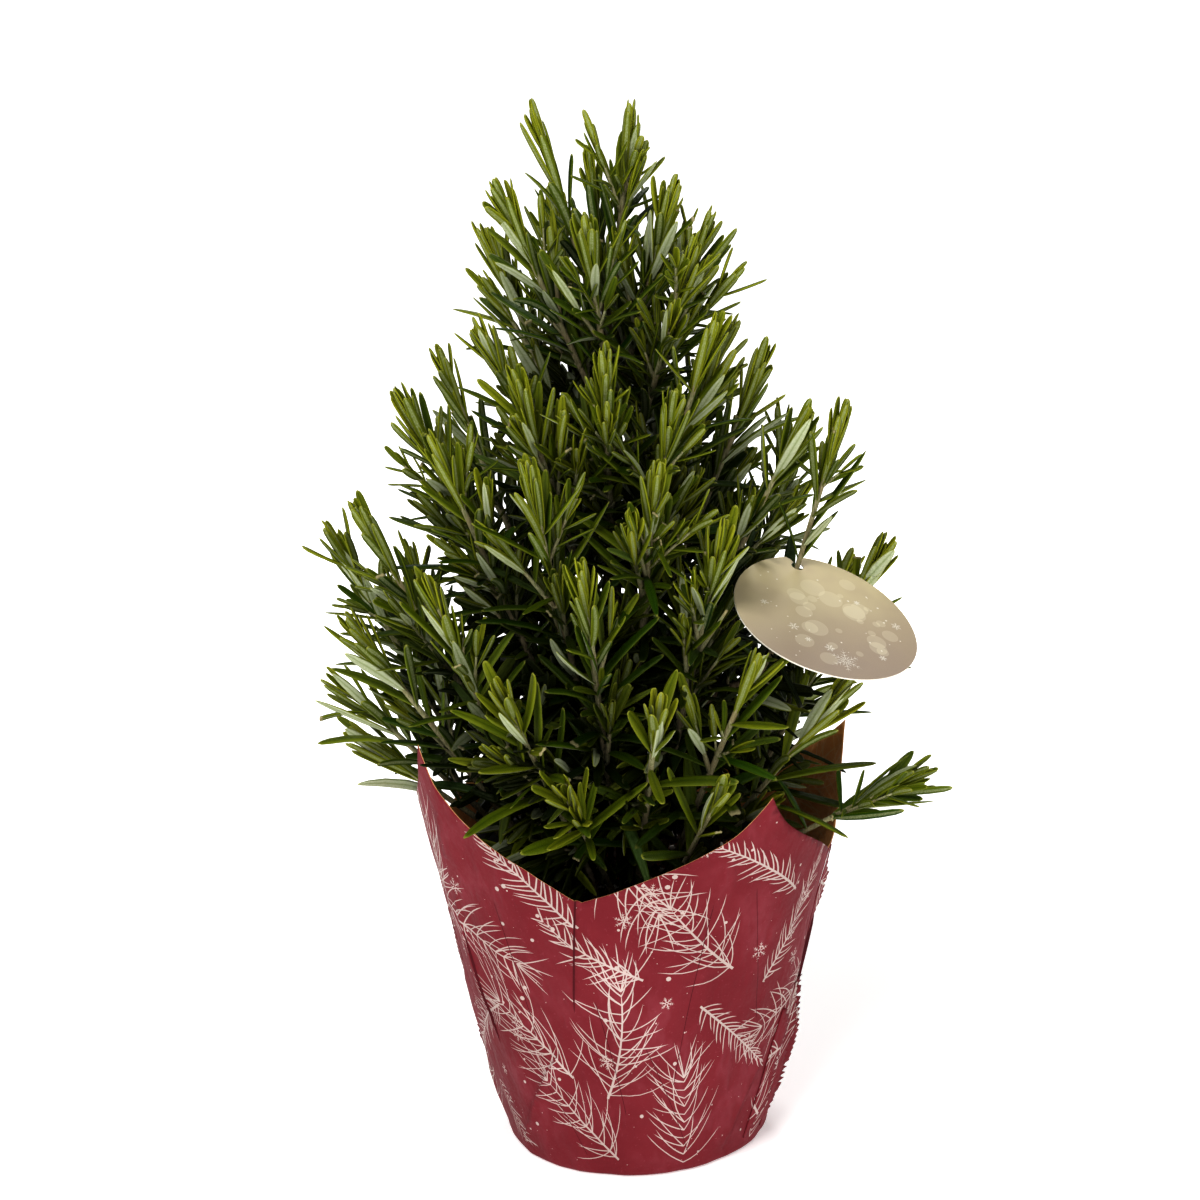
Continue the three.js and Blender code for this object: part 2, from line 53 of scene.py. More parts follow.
CAMERA = {"distance": 0.825, "height": 0.397, "pitch": 12.3, "roll": 2.94, "aim_left": 13, "focus": 2176}
FRAME_PIXELS, SENSOR = 1200, 36


def add_object(name, data):
    made = bpy.data.objects.new(name, data)
    bpy.context.scene.collection.objects.link(made)
    return made


def add_camera():
    data = bpy.data.cameras.new("camera")
    data.sensor_width = SENSOR
    data.lens = CAMERA["focus"] / FRAME_PIXELS * SENSOR
    yaw = math.degrees(math.atan(CAMERA["aim_left"] / CAMERA["focus"]))
    matrix = Matrix.Translation((0, -CAMERA["distance"], CAMERA["height"]))
    for turn, axis in ((yaw, "Z"), (90 - CAMERA["pitch"], "X"), (-CAMERA["roll"], "Z")):
        matrix = matrix @ Matrix.Rotation(math.radians(turn), 4, axis)
    camera = add_object("camera", data)
    camera.matrix_world = matrix
    bpy.context.scene.camera = camera


# Each lamp: where it stands round the plant and how high (m), its size (m) and its power (W).
LAMPS = {
    "key": {"azimuth": -24, "away": 1.5, "height": 1.6, "size": 1.0, "power": 27},
    "fill": {"azimuth": 28, "away": 1.6, "height": 0.45, "size": 1.2, "power": 8.5},
    "top": {"azimuth": 168, "away": 1.1, "height": 1.6, "size": 0.9, "power": 13},
}
AIM = Vector((0, 0, 0.2))
ROOM_LIGHT = 0.13  # the backdrop's light on the plant
WHITE = (1, 1, 1, 1)
EXPOSURE, GAMMA = 0.3, 0.78


def add_lamps():
    for name, lamp in LAMPS.items():
        data = bpy.data.lights.new(name, "AREA")
        data.shape, data.size, data.energy = "DISK", lamp["size"], lamp["power"]
        light = add_object(name, data)
        light.location = outward(lamp["azimuth"]) * lamp["away"] + UP * lamp["height"]
        light.rotation_euler = (AIM - light.location).to_track_quat("-Z", "Y").to_euler()


def add_world():
    """A white backdrop for the camera, which lights the plant less than it shows."""
    world = bpy.data.worlds.new("studio")
    world.use_nodes = True
    bpy.context.scene.world = world
    nodes, links = world.node_tree.nodes, world.node_tree.links
    nodes.clear()
    mix = nodes.new("ShaderNodeMixShader")
    for place, strength in ((1, ROOM_LIGHT), (2, 1.0)):
        light = nodes.new("ShaderNodeBackground")
        light.inputs["Color"].default_value = WHITE
        light.inputs["Strength"].default_value = strength
        links.new(light.outputs[0], mix.inputs[place])
    links.new(nodes.new("ShaderNodeLightPath").outputs["Is Camera Ray"], mix.inputs["Fac"])
    links.new(mix.outputs[0], nodes.new("ShaderNodeOutputWorld").inputs["Surface"])
    settings = bpy.context.scene.view_settings
    settings.view_transform, settings.exposure, settings.gamma = "Standard", EXPOSURE, GAMMA


# ---- Materials ----


def colour(web):
    """A web colour as linear light."""
    parts = [int(web[i : i + 2], 16) / 255 for i in (1, 3, 5)]
    return (*[p / 12.92 if p <= 0.04045 else ((p + 0.055) / 1.055) ** 2.4 for p in parts], 1)


class Look:
    """A material's Principled shader, with short calls for the few kinds of node that feed it."""

    def __init__(self, name, roughness, specular, **plain):
        self.material = bpy.data.materials.new(name)
        self.material.use_nodes = True
        self.tree = self.material.node_tree
        self.shader = self.tree.nodes["Principled BSDF"]
        self.set(Roughness=roughness, Specular_IOR_Level=specular, **plain)

    def set(self, **sockets):
        """Sets or links the shader's own sockets, named with _ for a space."""
        for name, value in sockets.items():
            self.link(value, self.shader.inputs[name.replace("_", " ")])

    def link(self, value, socket):
        if isinstance(value, bpy.types.NodeSocket):
            self.tree.links.new(value, socket)
        else:
            socket.default_value = value

    def node(self, kind, inputs, output=0, **settings):
        """A new node's output, once its settings and inputs are given."""
        node = self.tree.nodes.new("ShaderNode" + kind)
        for name, value in settings.items():
            setattr(node, name, value)
        for socket, value in inputs.items():
            self.link(value, node.inputs[socket])
        return node.outputs[output]

    def attribute(self, name):
        """An attribute's vector and its three parts."""
        vector = self.node("Attribute", {}, "Vector", attribute_name=name)
        return vector, *self.node("SeparateXYZ", {0: vector}).node.outputs

    def object_place(self):
        return self.node("TexCoord", {}, "Object")

    def stretched(self, place, scale):
        return self.node("VectorMath", {0: place, 1: scale}, operation="MULTIPLY")

    def noise(self, place, scale, detail=3, roughness=0.5):
        inputs = {"Vector": place, "Scale": scale, "Detail": detail, "Roughness": roughness}
        return self.node("TexNoise", inputs, "Fac")

    def ramp(self, value, low, high, start=0.0, end=1.0):
        inputs = {"Value": value, "From Min": low, "From Max": high, "To Min": start, "To Max": end}
        return self.node("MapRange", inputs, "Result", interpolation_type="SMOOTHSTEP")

    def math(self, operation, a, b=0.0):
        return self.node("Math", {0: a, 1: b}, operation=operation)

    def times(self, a, b):
        return self.math("MULTIPLY", a, b)

    def plus(self, a, b):
        return self.math("ADD", a, b)

    def mix(self, share, a, b):
        a, b = (colour(value) if isinstance(value, str) else value for value in (a, b))
        return self.node("Mix", {"Factor": share, "A": a, "B": b}, "Result", data_type="RGBA")

    def bump(self, height, distance, strength=1.0):
        inputs = {"Strength": strength, "Distance": distance * MM, "Height": height}
        self.set(Normal=self.node("Bump", inputs, "Normal"))


def leaf_material():
    """Rosemary leaf: dark and grooved above, a felted band below, with a rolled margin painted bright as a
    highlight, and painted shade in its groove and deep in the plant.
    """
    n = Look("rosemary_leaf", 0.5, 0.22, Specular_Tint=(0.85, 0.92, 0.5, 1))
    _, edge, felt, mid = n.attribute("leaf")
    _, along, youth, tone = n.attribute("grow")
    _, cut, shade, pale = n.attribute("wear")
    place = n.object_place()
    fine = n.noise(place, 1500, 2)
    upper = n.mix(youth, n.mix(tone, "#0f2b00", "#335000"), n.mix(tone, "#545f04", "#898a1c"))
    clouds = n.ramp(n.noise(place, 90), 0.35, 0.7, 0, 0.6)
    upper = n.mix(clouds, upper, n.mix(youth, "#1f4003", "#687310"))
    # Painted shade: the groove along the midrib above is darkened.
    upper = n.mix(n.times(n.math("POWER", mid, 3), 0.5), upper, "#163200")
    under = n.mix(n.ramp(fine, 0.35, 0.75), n.mix(youth, "#717b56", "#969b58"), "#a4aa86")
    under = n.mix(n.times(pale, 0.9), under, n.mix(fine, "#aeb693", "#c8cdb2"))
    under = n.mix(n.times(n.math("POWER", mid, 4), 0.6), under, "#6a7a30")
    skin = n.mix(n.ramp(n.plus(felt, n.times(pale, 0.6)), 0.55, 0.9), upper, under)
    # Painted highlight: the rolled margin is lightened to a yellow-green rim.
    skin = n.mix(n.ramp(edge, 0.45, 0.9, 0, 0.8), skin, n.mix(youth, "#505f10", "#979a28"))
    skin = n.mix(n.ramp(along, 0.95, 1.0, 0, 0.6), skin, "#a5a548")
    skin = n.mix(n.ramp(along, 0.1, 0.0, 0, 0.6), skin, "#98a050")
    skin = n.mix(n.times(n.ramp(along, 0.93, 0.98), cut), skin, "#9a916c")
    # Painted shade: leaves deep in the plant are darkened towards near black, less so where a pale side
    # shows.
    lit = n.math("SUBTRACT", 1.0, n.times(pale, 0.75))
    skin = n.mix(n.times(shade, lit), skin, "#040d00")
    n.set(Base_Color=skin, Roughness=n.ramp(felt, 0.3, 0.7, 0.44, 0.85))
    n.bump(n.plus(fine, n.times(mid, -0.6)), 0.25)
    return n.material


def twig_material():
    """Stems: downy and pale where young, tan and fissured where old."""
    n = Look("rosemary_twig", 0.85, 0.2)
    youth, shade = n.attribute("grow")[2], n.attribute("wear")[2]
    place = n.object_place()
    fibres = n.noise(n.stretched(place, (1, 1, 0.12)), 1900, 4, 0.65)
    patches, grain = n.noise(place, 160), n.ramp(fibres, 0.3, 0.7)
    old = n.mix(n.ramp(patches, 0.5, 0.7, 0, 0.6), n.mix(grain, "#54402d", "#a08a6c"), "#aa9b80")
    young = n.mix(n.ramp(patches, 0.45, 0.7, 0, 0.6), n.mix(grain, "#868c5e", "#b9b690"), "#96805c")
    # Painted shade: stems deep in the plant are darkened towards near black.
    n.set(Base_Color=n.mix(shade, n.mix(youth, old, young), "#0c0905"))
    n.bump(n.plus(fibres, n.times(patches, 0.5)), 0.5)
    return n.material


def paper_material(name, low, high, fleck):
    """Paper: a clouded colour with fine fibre flecks, lightly crumpled."""
    n = Look(name, 0.62, 0.18)
    place = n.object_place()
    clouds, fibre = n.noise(place, 22, 4, 0.6), n.noise(place, 700, 4, 0.6)
    fold = n.noise(n.stretched(place, (1, 1, 0.45)), 55, 3, 0.6)
    crumple = n.ramp(n.math("ABSOLUTE", n.math("SUBTRACT", fold, 0.5)), 0.0, 0.09, 1.0, 0.0)
    base = n.mix(n.ramp(clouds, 0.3, 0.7), low, high)
    base = n.mix(n.ramp(fibre, 0.58, 0.74, 0, 0.35), base, fleck)
    base = n.mix(n.times(crumple, n.ramp(clouds, 0.4, 0.7, 0, 0.3)), base, fleck)
    n.set(Base_Color=base, Roughness=n.ramp(fibre, 0.2, 0.8, 0.54, 0.72))
    soft = n.plus(n.noise(place, 95), n.times(fibre, 0.1))
    n.bump(n.plus(soft, n.times(crumple, 0.22)), 1.1, 0.7)
    return n.material


def pot_material():
    """Black plastic, dusty and scuffed."""
    n = Look("pot_plastic", 0.45, 0.5)
    place = n.object_place()
    scuffs = n.noise(n.stretched(place, (1, 1, 6)), 220, 4, 0.7)
    base = n.mix(n.ramp(n.noise(place, 45, 4, 0.6), 0.5, 0.75, 0, 0.5), "#121212", "#2d2925")
    base = n.mix(n.ramp(scuffs, 0.62, 0.72, 0, 0.4), base, "#3b3834")
    n.set(Base_Color=base, Roughness=n.ramp(scuffs, 0.3, 0.7, 0.38, 0.6))
    n.bump(scuffs, 0.12, 0.5)
    return n.material


def soil_material():
    """Potting mix by kind, as the `mix` attribute says: 0 peat, 0.5 bark, 1 perlite."""
    n = Look("potting_mix", 0.95, 0.15)
    _, kind, tone, _ = n.attribute("mix")
    place = n.object_place()
    crumbs, fibres = n.noise(place, 420, 5, 0.7), n.noise(n.stretched(place, (1, 0.2, 1)), 900)
    peat = n.mix(n.ramp(crumbs, 0.35, 0.7), "#120c08", "#3a2818")
    bark = n.mix(n.ramp(fibres, 0.4, 0.6), n.mix(tone, "#5a2c16", "#8d4f28"), "#3a1f12")
    perlite = n.mix(n.ramp(crumbs, 0.3, 0.7), "#b9b4a8", "#efece4")
    base = n.mix(n.ramp(kind, 0.2, 0.3), peat, bark)
    n.set(Base_Color=n.mix(n.ramp(kind, 0.7, 0.8), base, perlite))
    n.bump(crumbs, 1.2)
    return n.material


def tag_material(name, level):
    """Satin card: bare of print, under one pale disc or more, a white flake, or its board."""
    n = Look(name, 0.38, 0.5)
    card, _, up, _ = n.attribute("card")
    grain = n.noise(card, 3)
    if level < FLAKE:
        base = n.mix(n.ramp(up, -28, 24), "#a59585", "#c6b996")
        base = n.mix(n.ramp(n.noise(card, 0.05, 2), 0.4, 0.7, 0, 0.4), base, "#ae9d86")
        base = n.mix(0.2 * level, base, "#e9e1c6")
        base = n.mix(n.ramp(grain, 0.4, 0.8, 0, 0.12), base, "#d8ccae")
    else:
        base = n.mix(grain, "#d9d2c4", "#ece7dc")
    n.set(Base_Color=base, Roughness=n.ramp(grain, 0.3, 0.7, 0.32, 0.46))
    n.bump(n.noise(card, 6, 2), 0.02, 0.4)
    return n.material


def floor_material():
    """A pale floor that glows as painted light, faintly near the plant and fully far from it, so that it
    fades into the white backdrop.
    """
    n = Look("floor", 0.9, 0.1, Emission_Color=WHITE)
    place = n.object_place()
    away = n.node("VectorMath", {0: place}, "Value", operation="LENGTH")
    n.set(Base_Color=n.mix(n.noise(place, 3, 2), "#f0f0ef", "#f6f6f5"))
    # Painted light: the floor's glow grows from 0.36 near the plant to 1.0 a metre away.
    n.set(Emission_Strength=n.ramp(away, 0.1, 1.1, 0.36, 1.0))
    return n.material


# ---- Meshes ----


class Skin:
    """Gathers tubes and faces into one mesh, with vector attributes and a map for its baked colours."""

    def __init__(self):
        self.points, self.faces, self.slots, self.places, self.values = [], [], [], [], {}
        self.count = 0

    def add(self, points, faces, slot=0, places=None, **values):
        """slot is one for all the faces or a list. places are the map's corners, face by face."""
        points = np.reshape(points, (-1, 3))
        self.points.append(points)
        self.faces += [[self.count + v for v in face] for face in faces]
        self.slots += slot if isinstance(slot, list) else [slot] * len(faces)
        if places is not None:
            self.places.append(places.ravel())
        span = slice(self.count, self.count + len(points))
        for name, value in values.items():
            self.values.setdefault(name, []).append((span, np.reshape(value, (-1, 3))))
        self.count += len(points)

    def add_sheet(self, sides, faces, slots, behind, edge, **values):
        """A thin solid: both sides' corners, and one side's faces. behind gives the slot behind a slot."""
        count = len(sides[0])
        once = {(a, b) for face in faces for a, b in zip(face, face[1:] + face[:1])}
        back = [[v + count for v in face[::-1]] for face in faces]
        walls = [[b, a, a + count, b + count] for a, b in sorted(once) if (b, a) not in once]
        slots = slots + [behind[slot] for slot in slots] + [edge] * len(walls)
        self.add(np.concatenate(sides), faces + back + walls, slots, **values)

    def add_tubes(self, rings, slot, boxes, **values):
        """rings is (tubes, rings, sides, 3). Each tube is capped, and has a box of the map to itself."""
        tubes, levels, sides = rings.shape[:3]
        k, i = np.indices((levels - 1, sides)).reshape(2, -1)
        row, above, after = k * sides, (k + 1) * sides, (i + 1) % sides
        quads = np.stack([row + i, row + after, above + after, above + i], 1).tolist()
        ring = np.arange(sides)
        one = [*quads, ring[::-1].tolist(), (ring + (levels - 1) * sides).tolist()]
        faces = [[v + tube * levels * sides for v in face] for tube in range(tubes) for face in one]
        ends = np.concatenate([ring[::-1], ring]) / sides
        across = np.concatenate([np.stack([i, i + 1, i + 1, i], 1).ravel() / sides, ends])
        along = np.stack([k, k, k + 1, k + 1], 1).ravel() / (levels - 1)
        places = np.stack([across, np.concatenate([along, ring * 0, ring * 0 + 1])], 1)
        boxes = np.asarray(boxes)[:, None]
        self.add(rings, faces, slot, boxes[..., :2] + places * (boxes[..., 2:] - boxes[..., :2]), **values)

    def finish(self, name, materials, slot, *nodes, smooth=True):
        mesh = bpy.data.meshes.new(name)
        mesh.from_pydata((np.concatenate(self.points) * MM).tolist(), [], self.faces)
        for material in materials:
            mesh.materials.append(material)
        mesh.polygons.foreach_set("material_index", self.slots)
        mesh.polygons.foreach_set("use_smooth", [smooth] * len(mesh.polygons))
        for key, parts in self.values.items():
            full = np.zeros((self.count, 3))
            for span, part in parts:
                full[span] = part
            mesh.attributes.new(key, "FLOAT_VECTOR", "POINT").data.foreach_set("vector", full.ravel())
        if self.places:
            mesh.uv_layers.new(name="OFBake").uv.foreach_set("vector", np.concatenate(self.places))
        mesh.update()
        piece = add_object(name, mesh)
        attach(piece, "root")
        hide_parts(*nodes)


def unit(v):
    return v / np.linalg.norm(v, axis=-1, keepdims=True)


def outward(azimuth):
    turn = math.radians(azimuth)
    return np.array([math.sin(turn), -math.cos(turn), 0.0])


def around(sides):
    """The angles of a ring's corners."""
    return 2 * np.pi * np.arange(sides) / sides


def ring_at(radius, turn, z):
    """Corners round the Z axis, the first at the front."""
    return np.stack([radius * np.sin(turn), -radius * np.cos(turn), z + 0 * turn], -1)


def tube_rings(points, radii, sides, squareness=0.0):
    """Rings square to a path, turned as little as possible from one to the next."""
    ahead_of = unit(np.gradient(points, axis=0))
    side = np.array([1.0, 0, 0]) if abs(ahead_of[0][0]) < 0.9 else np.array([0, 1.0, 0])
    turn = around(sides)[:, None]
    rings = []
    for point, ahead, radius in zip(points, ahead_of, radii):
        side = unit(side - ahead * side.dot(ahead))
        spokes = np.cos(turn) * side + np.sin(turn) * np.cross(ahead, side)
        rings.append(point + radius * (1 + squareness * np.cos(4 * turn)) * spokes)
    return np.array(rings)


# ---- Where the stems, the cover and the tag are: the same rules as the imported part's ----

COVER = {"wall": 0.9, "foot": 52, "slope": 0.2254, "tilt": 0.02, "corner": 3}
LEAN_FROM, LEAN_OVER = 95, 60  # the height where the cover's points start to lean, and over how much
EDGE_STRAIGHT, SPIKE_WIDTH, WIDEST_SPAN = 0.7, 0.12, 65
POINTS = [(35, 157, 2), (108, 156, 6), (206, 158, 3), (297, 174, -2)]  # azimuth, height, lean
DIPS = [(74, 119, 3), (158, 123, 0), (250, 124, 0), (346, 122, 0)]
POT = {"height": 112, "foot": 46.5, "top": 70.5, "wall": 1.6, "floor": 2, "from": 1.2}
RIM_OUT, RIM_HIGH = 2.2, 11
SOIL_TOP, SOIL_DEPTH, SOIL_EDGE = 103, 92, 3
TRUNK = {"foot": 66, "top": 338, "foot_radius": 4.6, "top_radius": 1.6, "lean": 3, "bow": 3}
TAG = {"radius": 35, "thick": 0.8, "stem": 25, "from_tip": 50, "hole": 2.4, "inset": 5.5, "slit": 1.6}
LEAFY_LENGTH, LEAF_FROM_END, STEM_CLEAR, GAP = 84, 6, 0.5, 0.3
STEM_RADII = 2.1, 1.75  # at the foot and at the leafy run

SHOOTS = [
    # the crown
    (-90, 21, 405), (78, 18, 402), (180, 14, 388), (-4, 33, 367), (-62, 38, 379), (62, 34, 377),
    (92, 43, 364), (48, 47, 357), (128, 38, 372), (-152, 36, 374), (-112, 44, 362), (170, 45, 352),
    # the upper half
    (-54, 53, 331), (1, 60, 322), (-29, 63, 316), (42, 61, 330), (84, 62, 314), (22, 67, 307),
    (125, 62, 322), (165, 66, 308), (-155, 62, 318), (-105, 64, 316),
    # the widest part
    (-62, 82, 309), (-46, 84, 294), (62, 82, 296), (66, 96, 294, 17), (12, 82, 285), (-20, 81, 286),
    (27, 88, 262), (-67, 99, 268), (-84, 106, 256), (108, 84, 284), (145, 86, 268), (-172, 84, 280),
    (-128, 86, 276), (-6, 93, 252), (84, 104, 240), (-42, 97, 246),
    # the skirt
    (-66, 103, 226), (-88, 104, 196), (-24, 98, 212), (8, 96, 205), (30, 98, 218), (110, 100, 222),
    (148, 98, 208), (-165, 96, 214), (-118, 100, 220), (56, 96, 196), (68, 114, 163), (-14, 86, 176),
    (24, 84, 168), (-96, 98, 170), (130, 98, 168),
]


def edge_at(azimuth):
    """The top edge's height and its lean at an azimuth."""
    for peak, dip, way in product(POINTS, DIPS, (1, -1)):
        span, here = [(way * (place - peak[0])) % 360 for place in (dip[0], azimuth)]
        if span < WIDEST_SPAN and here <= span:
            t = here / span
            share = EDGE_STRAIGHT * (1 - t) + (1 - EDGE_STRAIGHT) * math.exp(-t / SPIKE_WIDTH)
            return [low + (high - low) * share for high, low in zip(peak[1:], dip[1:])]


EDGE_STEPS = np.arange(0, 360.01, 0.25)
EDGE_HEIGHTS, EDGE_LEANS = np.array([edge_at(a) for a in EDGE_STEPS]).T


def edge_height(azimuth):
    return np.interp(np.asarray(azimuth) % 360, EDGE_STEPS, EDGE_HEIGHTS)


def cover_radius(azimuth, z):
    lean = np.interp(np.asarray(azimuth) % 360, EDGE_STEPS, EDGE_LEANS)
    rise = np.maximum(np.asarray(z) - LEAN_FROM, 0) / LEAN_OVER
    return COVER["foot"] + COVER["slope"] * np.asarray(z) + lean * rise**1.5


def pot_radius(z):
    return POT["foot"] + (POT["top"] - POT["foot"]) * (z - POT["from"]) / POT["height"]


def axis_at(z):
    share = max(z - SOIL_TOP, 0) / (TRUNK["top"] - SOIL_TOP)
    sway = TRUNK["bow"] * share * (1 - 0.6 * share)
    x = TRUNK["lean"] * share + sway * math.sin(3.1 * share * math.pi)
    return np.array([x, sway * math.sin(2.3 * share * math.pi), z])


def trunk_radius(z):
    share = (z - TRUNK["foot"]) / (TRUNK["top"] - TRUNK["foot"])
    return TRUNK["foot_radius"] + (TRUNK["top_radius"] - TRUNK["foot_radius"]) * share


# A stem ends short of its tip in height and reach. It wants to leave the trunk this far below its end,
# and lower by a share of its reach, but keeps away from the trunk's top and from the soil (mm).
TIP_RISE, TIP_REACH, LEAVE_BELOW, LEAVE_SLOPE, END_ROOM = 14, 4, 42, 0.78, 9
HOLE_DEPTH = 17


def shoot_path(azimuth, reach, height, bulge, turn, shift):
    """A stem's curve, from its foot on the trunk or in the soil to its growing tip."""
    out = outward(azimuth + turn)
    end_height = height - TIP_RISE
    end = out * (reach - TIP_REACH) + UP * end_height
    wanted = end_height - LEAVE_BELOW - LEAVE_SLOPE * reach
    in_soil = wanted < SOIL_TOP + END_ROOM
    if in_soil:
        foot = out * (14 + 0.42 * (reach - 60) + shift) + UP * SOIL_TOP
    else:
        trunk_foot = min(wanted, TRUNK["top"] - END_ROOM) + shift
        foot = axis_at(trunk_foot) + out * 0.7 * trunk_radius(trunk_foot)
    rise = end[2] - foot[2]
    run = math.hypot(end[0] - foot[0], end[1] - foot[1])
    if in_soil:
        leave = foot + UP * 0.38 * rise + out * 0.1 * run
    else:
        leave = foot + out * (bulge + max(0.5 * run, 9)) + UP * 0.18 * rise
    arrive = end - UP * 0.42 * rise + out * (bulge - 0.06 * run)
    t = np.linspace(0, 1, 41)[:, None]
    points = foot * (1 - t) ** 3 + leave * 3 * t * (1 - t) ** 2 + arrive * 3 * t * t * (1 - t) + end * t**3
    return points, in_soil, foot


def stem_corners(points, in_soil, foot):
    """A few bends from the foot, then one straight leafy run."""
    steps = np.linalg.norm(np.diff(points, axis=0), axis=1)
    length = np.concatenate([[0], np.cumsum(steps)])
    bend = length[-1] - min(LEAFY_LENGTH, length[-1] * 0.8) - LEAF_FROM_END
    at = [bend * k / 3 for k in range(4)]
    corners = [np.array([np.interp(a, length, points[:, axis]) for axis in range(3)]) for a in at]
    corners.append(points[-1])
    if in_soil:
        corners.insert(0, foot * [1, 1, 0] + UP * (SOIL_TOP - HOLE_DEPTH))
    return np.array(corners)


def gap_between(p, q, others):
    """The least distance from the straight piece p-q to each of the others, (n, 2, 3)."""
    r, s = others[:, 0], others[:, 1]
    d1, d2, w = q - p, s - r, p - r
    aa, ee = d1 @ d1, (d2 * d2).sum(1)
    ff, cc, bb = (d2 * w).sum(1), w @ d1, d2 @ d1
    denominator = aa * ee - bb * bb
    safe = np.where(denominator > 1e-9, denominator, 1)
    u = np.where(denominator > 1e-9, np.clip((bb * ff - cc * ee) / safe, 0, 1), 0)
    v = np.clip((bb * u + ff) / ee, 0, 1)
    u = np.clip((bb * v - cc) / aa, 0, 1)
    return np.linalg.norm(p + d1 * u[:, None] - r - d2 * v[:, None], axis=1)


READER = np.array([0, -CAMERA["distance"], CAMERA["height"]]) / MM
TAG_NORMAL = unit(np.array([0.316, -0.391, 0.865]))
TAG_UP = np.array([-0.29, 0.86, 0.42])
TAG_UP = unit(TAG_UP - TAG_NORMAL * TAG_UP.dot(TAG_NORMAL))


def clear_of_tag(points, radius, centre):
    if centre is None:
        return True
    rays = np.atleast_2d(points) - centre
    above = np.abs(rays @ TAG_NORMAL) > radius + TAG["thick"] + GAP
    return bool(np.all(above | (np.linalg.norm(rays, axis=1) > TAG["radius"] + radius + 1)))


READ_MARGIN, HOLE_MARGIN = 1, 6  # round the tag's face, kept clear, and round its hole, which isn't


def clear_before_tag(points, centre):
    """True for growth that leaves the tag's face open to its reader, other than round its own stem."""
    rays = points - centre
    reader = unit(READER - centre)
    above = rays @ TAG_NORMAL
    flat = rays - (above / reader.dot(TAG_NORMAL))[:, None] * reader
    over_face = (above > 0) & (np.linalg.norm(flat, axis=1) < TAG["radius"] + READ_MARGIN)
    from_hole = np.linalg.norm(flat - TAG_UP * (TAG["radius"] - TAG["inset"]), axis=1)
    return not np.any(over_face & (from_hole >= HOLE_MARGIN))


TURNS, SHIFTS = (0, 7, -7, 14, -14), (0, 6, -6, 12, -12, 18, -18, 24, -24, 30, -30)


def place_stem(tip, taken, tag_centre):
    """The first place near the tip's own that is clear of the tag and of the stems before it."""
    for turn, shift in product(TURNS, SHIFTS):
        points, in_soil, foot = shoot_path(*(*tip, 0)[:4], turn, shift)
        corners = stem_corners(points, in_soil, foot)
        radii = np.interp(range(len(corners) - 1), [0, len(corners) - 2], STEM_RADII)
        spans = list(zip(corners[:-1], corners[1:], radii))
        if all(span_is_clear(*span, taken, tag_centre) for span in spans):
            taken += spans
            return {"corners": corners, "in_soil": in_soil, "tip": tip}
    raise ValueError("no clear place for a stem")


def span_is_clear(p, q, radius, taken, tag_centre):
    room = radius + STEM_CLEAR
    if taken:
        others = np.array([[a, b] for a, b, _ in taken])
        if np.any(gap_between(p, q, others) <= room + np.array([r for *_, r in taken])):
            return False
    steps = math.ceil(np.linalg.norm(q - p) / 1.5)
    return clear_of_tag(p + (q - p) * np.linspace(0, 1, steps + 1)[:, None], room, tag_centre)


def place_stems():
    """All stems in order, the tag's own stem first, and the tag's centre on it."""
    taken = []
    hooked = place_stem(SHOOTS[TAG["stem"]], taken, None)
    bend, end = hooked["corners"][-2:]
    at = end + (bend - end) * TAG["from_tip"] / np.linalg.norm(bend - end)
    centre = at + TAG_UP * (TAG["inset"] - TAG["radius"])
    stems = [hooked if k == TAG["stem"] else place_stem(tip, taken, centre) for k, tip in enumerate(SHOOTS)]
    return stems, centre


FRONT, HANG_LEAST = 60, 6  # leaves droop over the cover only at the front; elsewhere they end above it
RIM_IN, RIM_WIDE = 4, 6  # mm inside and outside the pot's top where leaves keep off its rim


def clear_of_holder(points, radius):
    """True for points that are clear of the cover's wall, the soil and the pot's rim."""
    r = np.hypot(points[:, 0], points[:, 1])
    x, z = points[:, 0] - COVER["tilt"] * points[:, 2], points[:, 2]
    azimuth = np.degrees(np.arctan2(x, -points[:, 1]))
    from_wall = np.abs(np.hypot(x, points[:, 1]) - cover_radius(azimuth, z))
    margin = radius + COVER["wall"] + GAP
    in_wall = (z < edge_height(azimuth) + margin) & (from_wall < margin + 1)
    outside = np.hypot(x, points[:, 1]) > cover_radius(azimuth, z)
    hanging = outside & (np.abs(azimuth) > FRONT) & (z < edge_height(azimuth) + HANG_LEAST)
    in_soil = (r < POT["top"] - RIM_IN) & (z < SOIL_TOP + radius + 1)
    over_rim = (r >= POT["top"] - RIM_IN) & (r < POT["top"] + RIM_WIDE)
    in_rim = over_rim & (z < POT["from"] + POT["height"] + margin)
    return not np.any(in_wall | hanging | in_soil | in_rim)


def has_room(points, radius, tag_centre):
    open_way = clear_of_tag(points, radius, tag_centre) and clear_before_tag(points, tag_centre)
    return open_way and clear_of_holder(points, radius)


# ---- Leaves ----

# Heights of tips (mm): below the first a shoot turns into one of the skirt, above the next one into
# one of the crown, each over so much.
SKIRT_TOP, CROWN_FOOT, SKIRT_OVER, CROWN_OVER = 250, 370, 60, 30

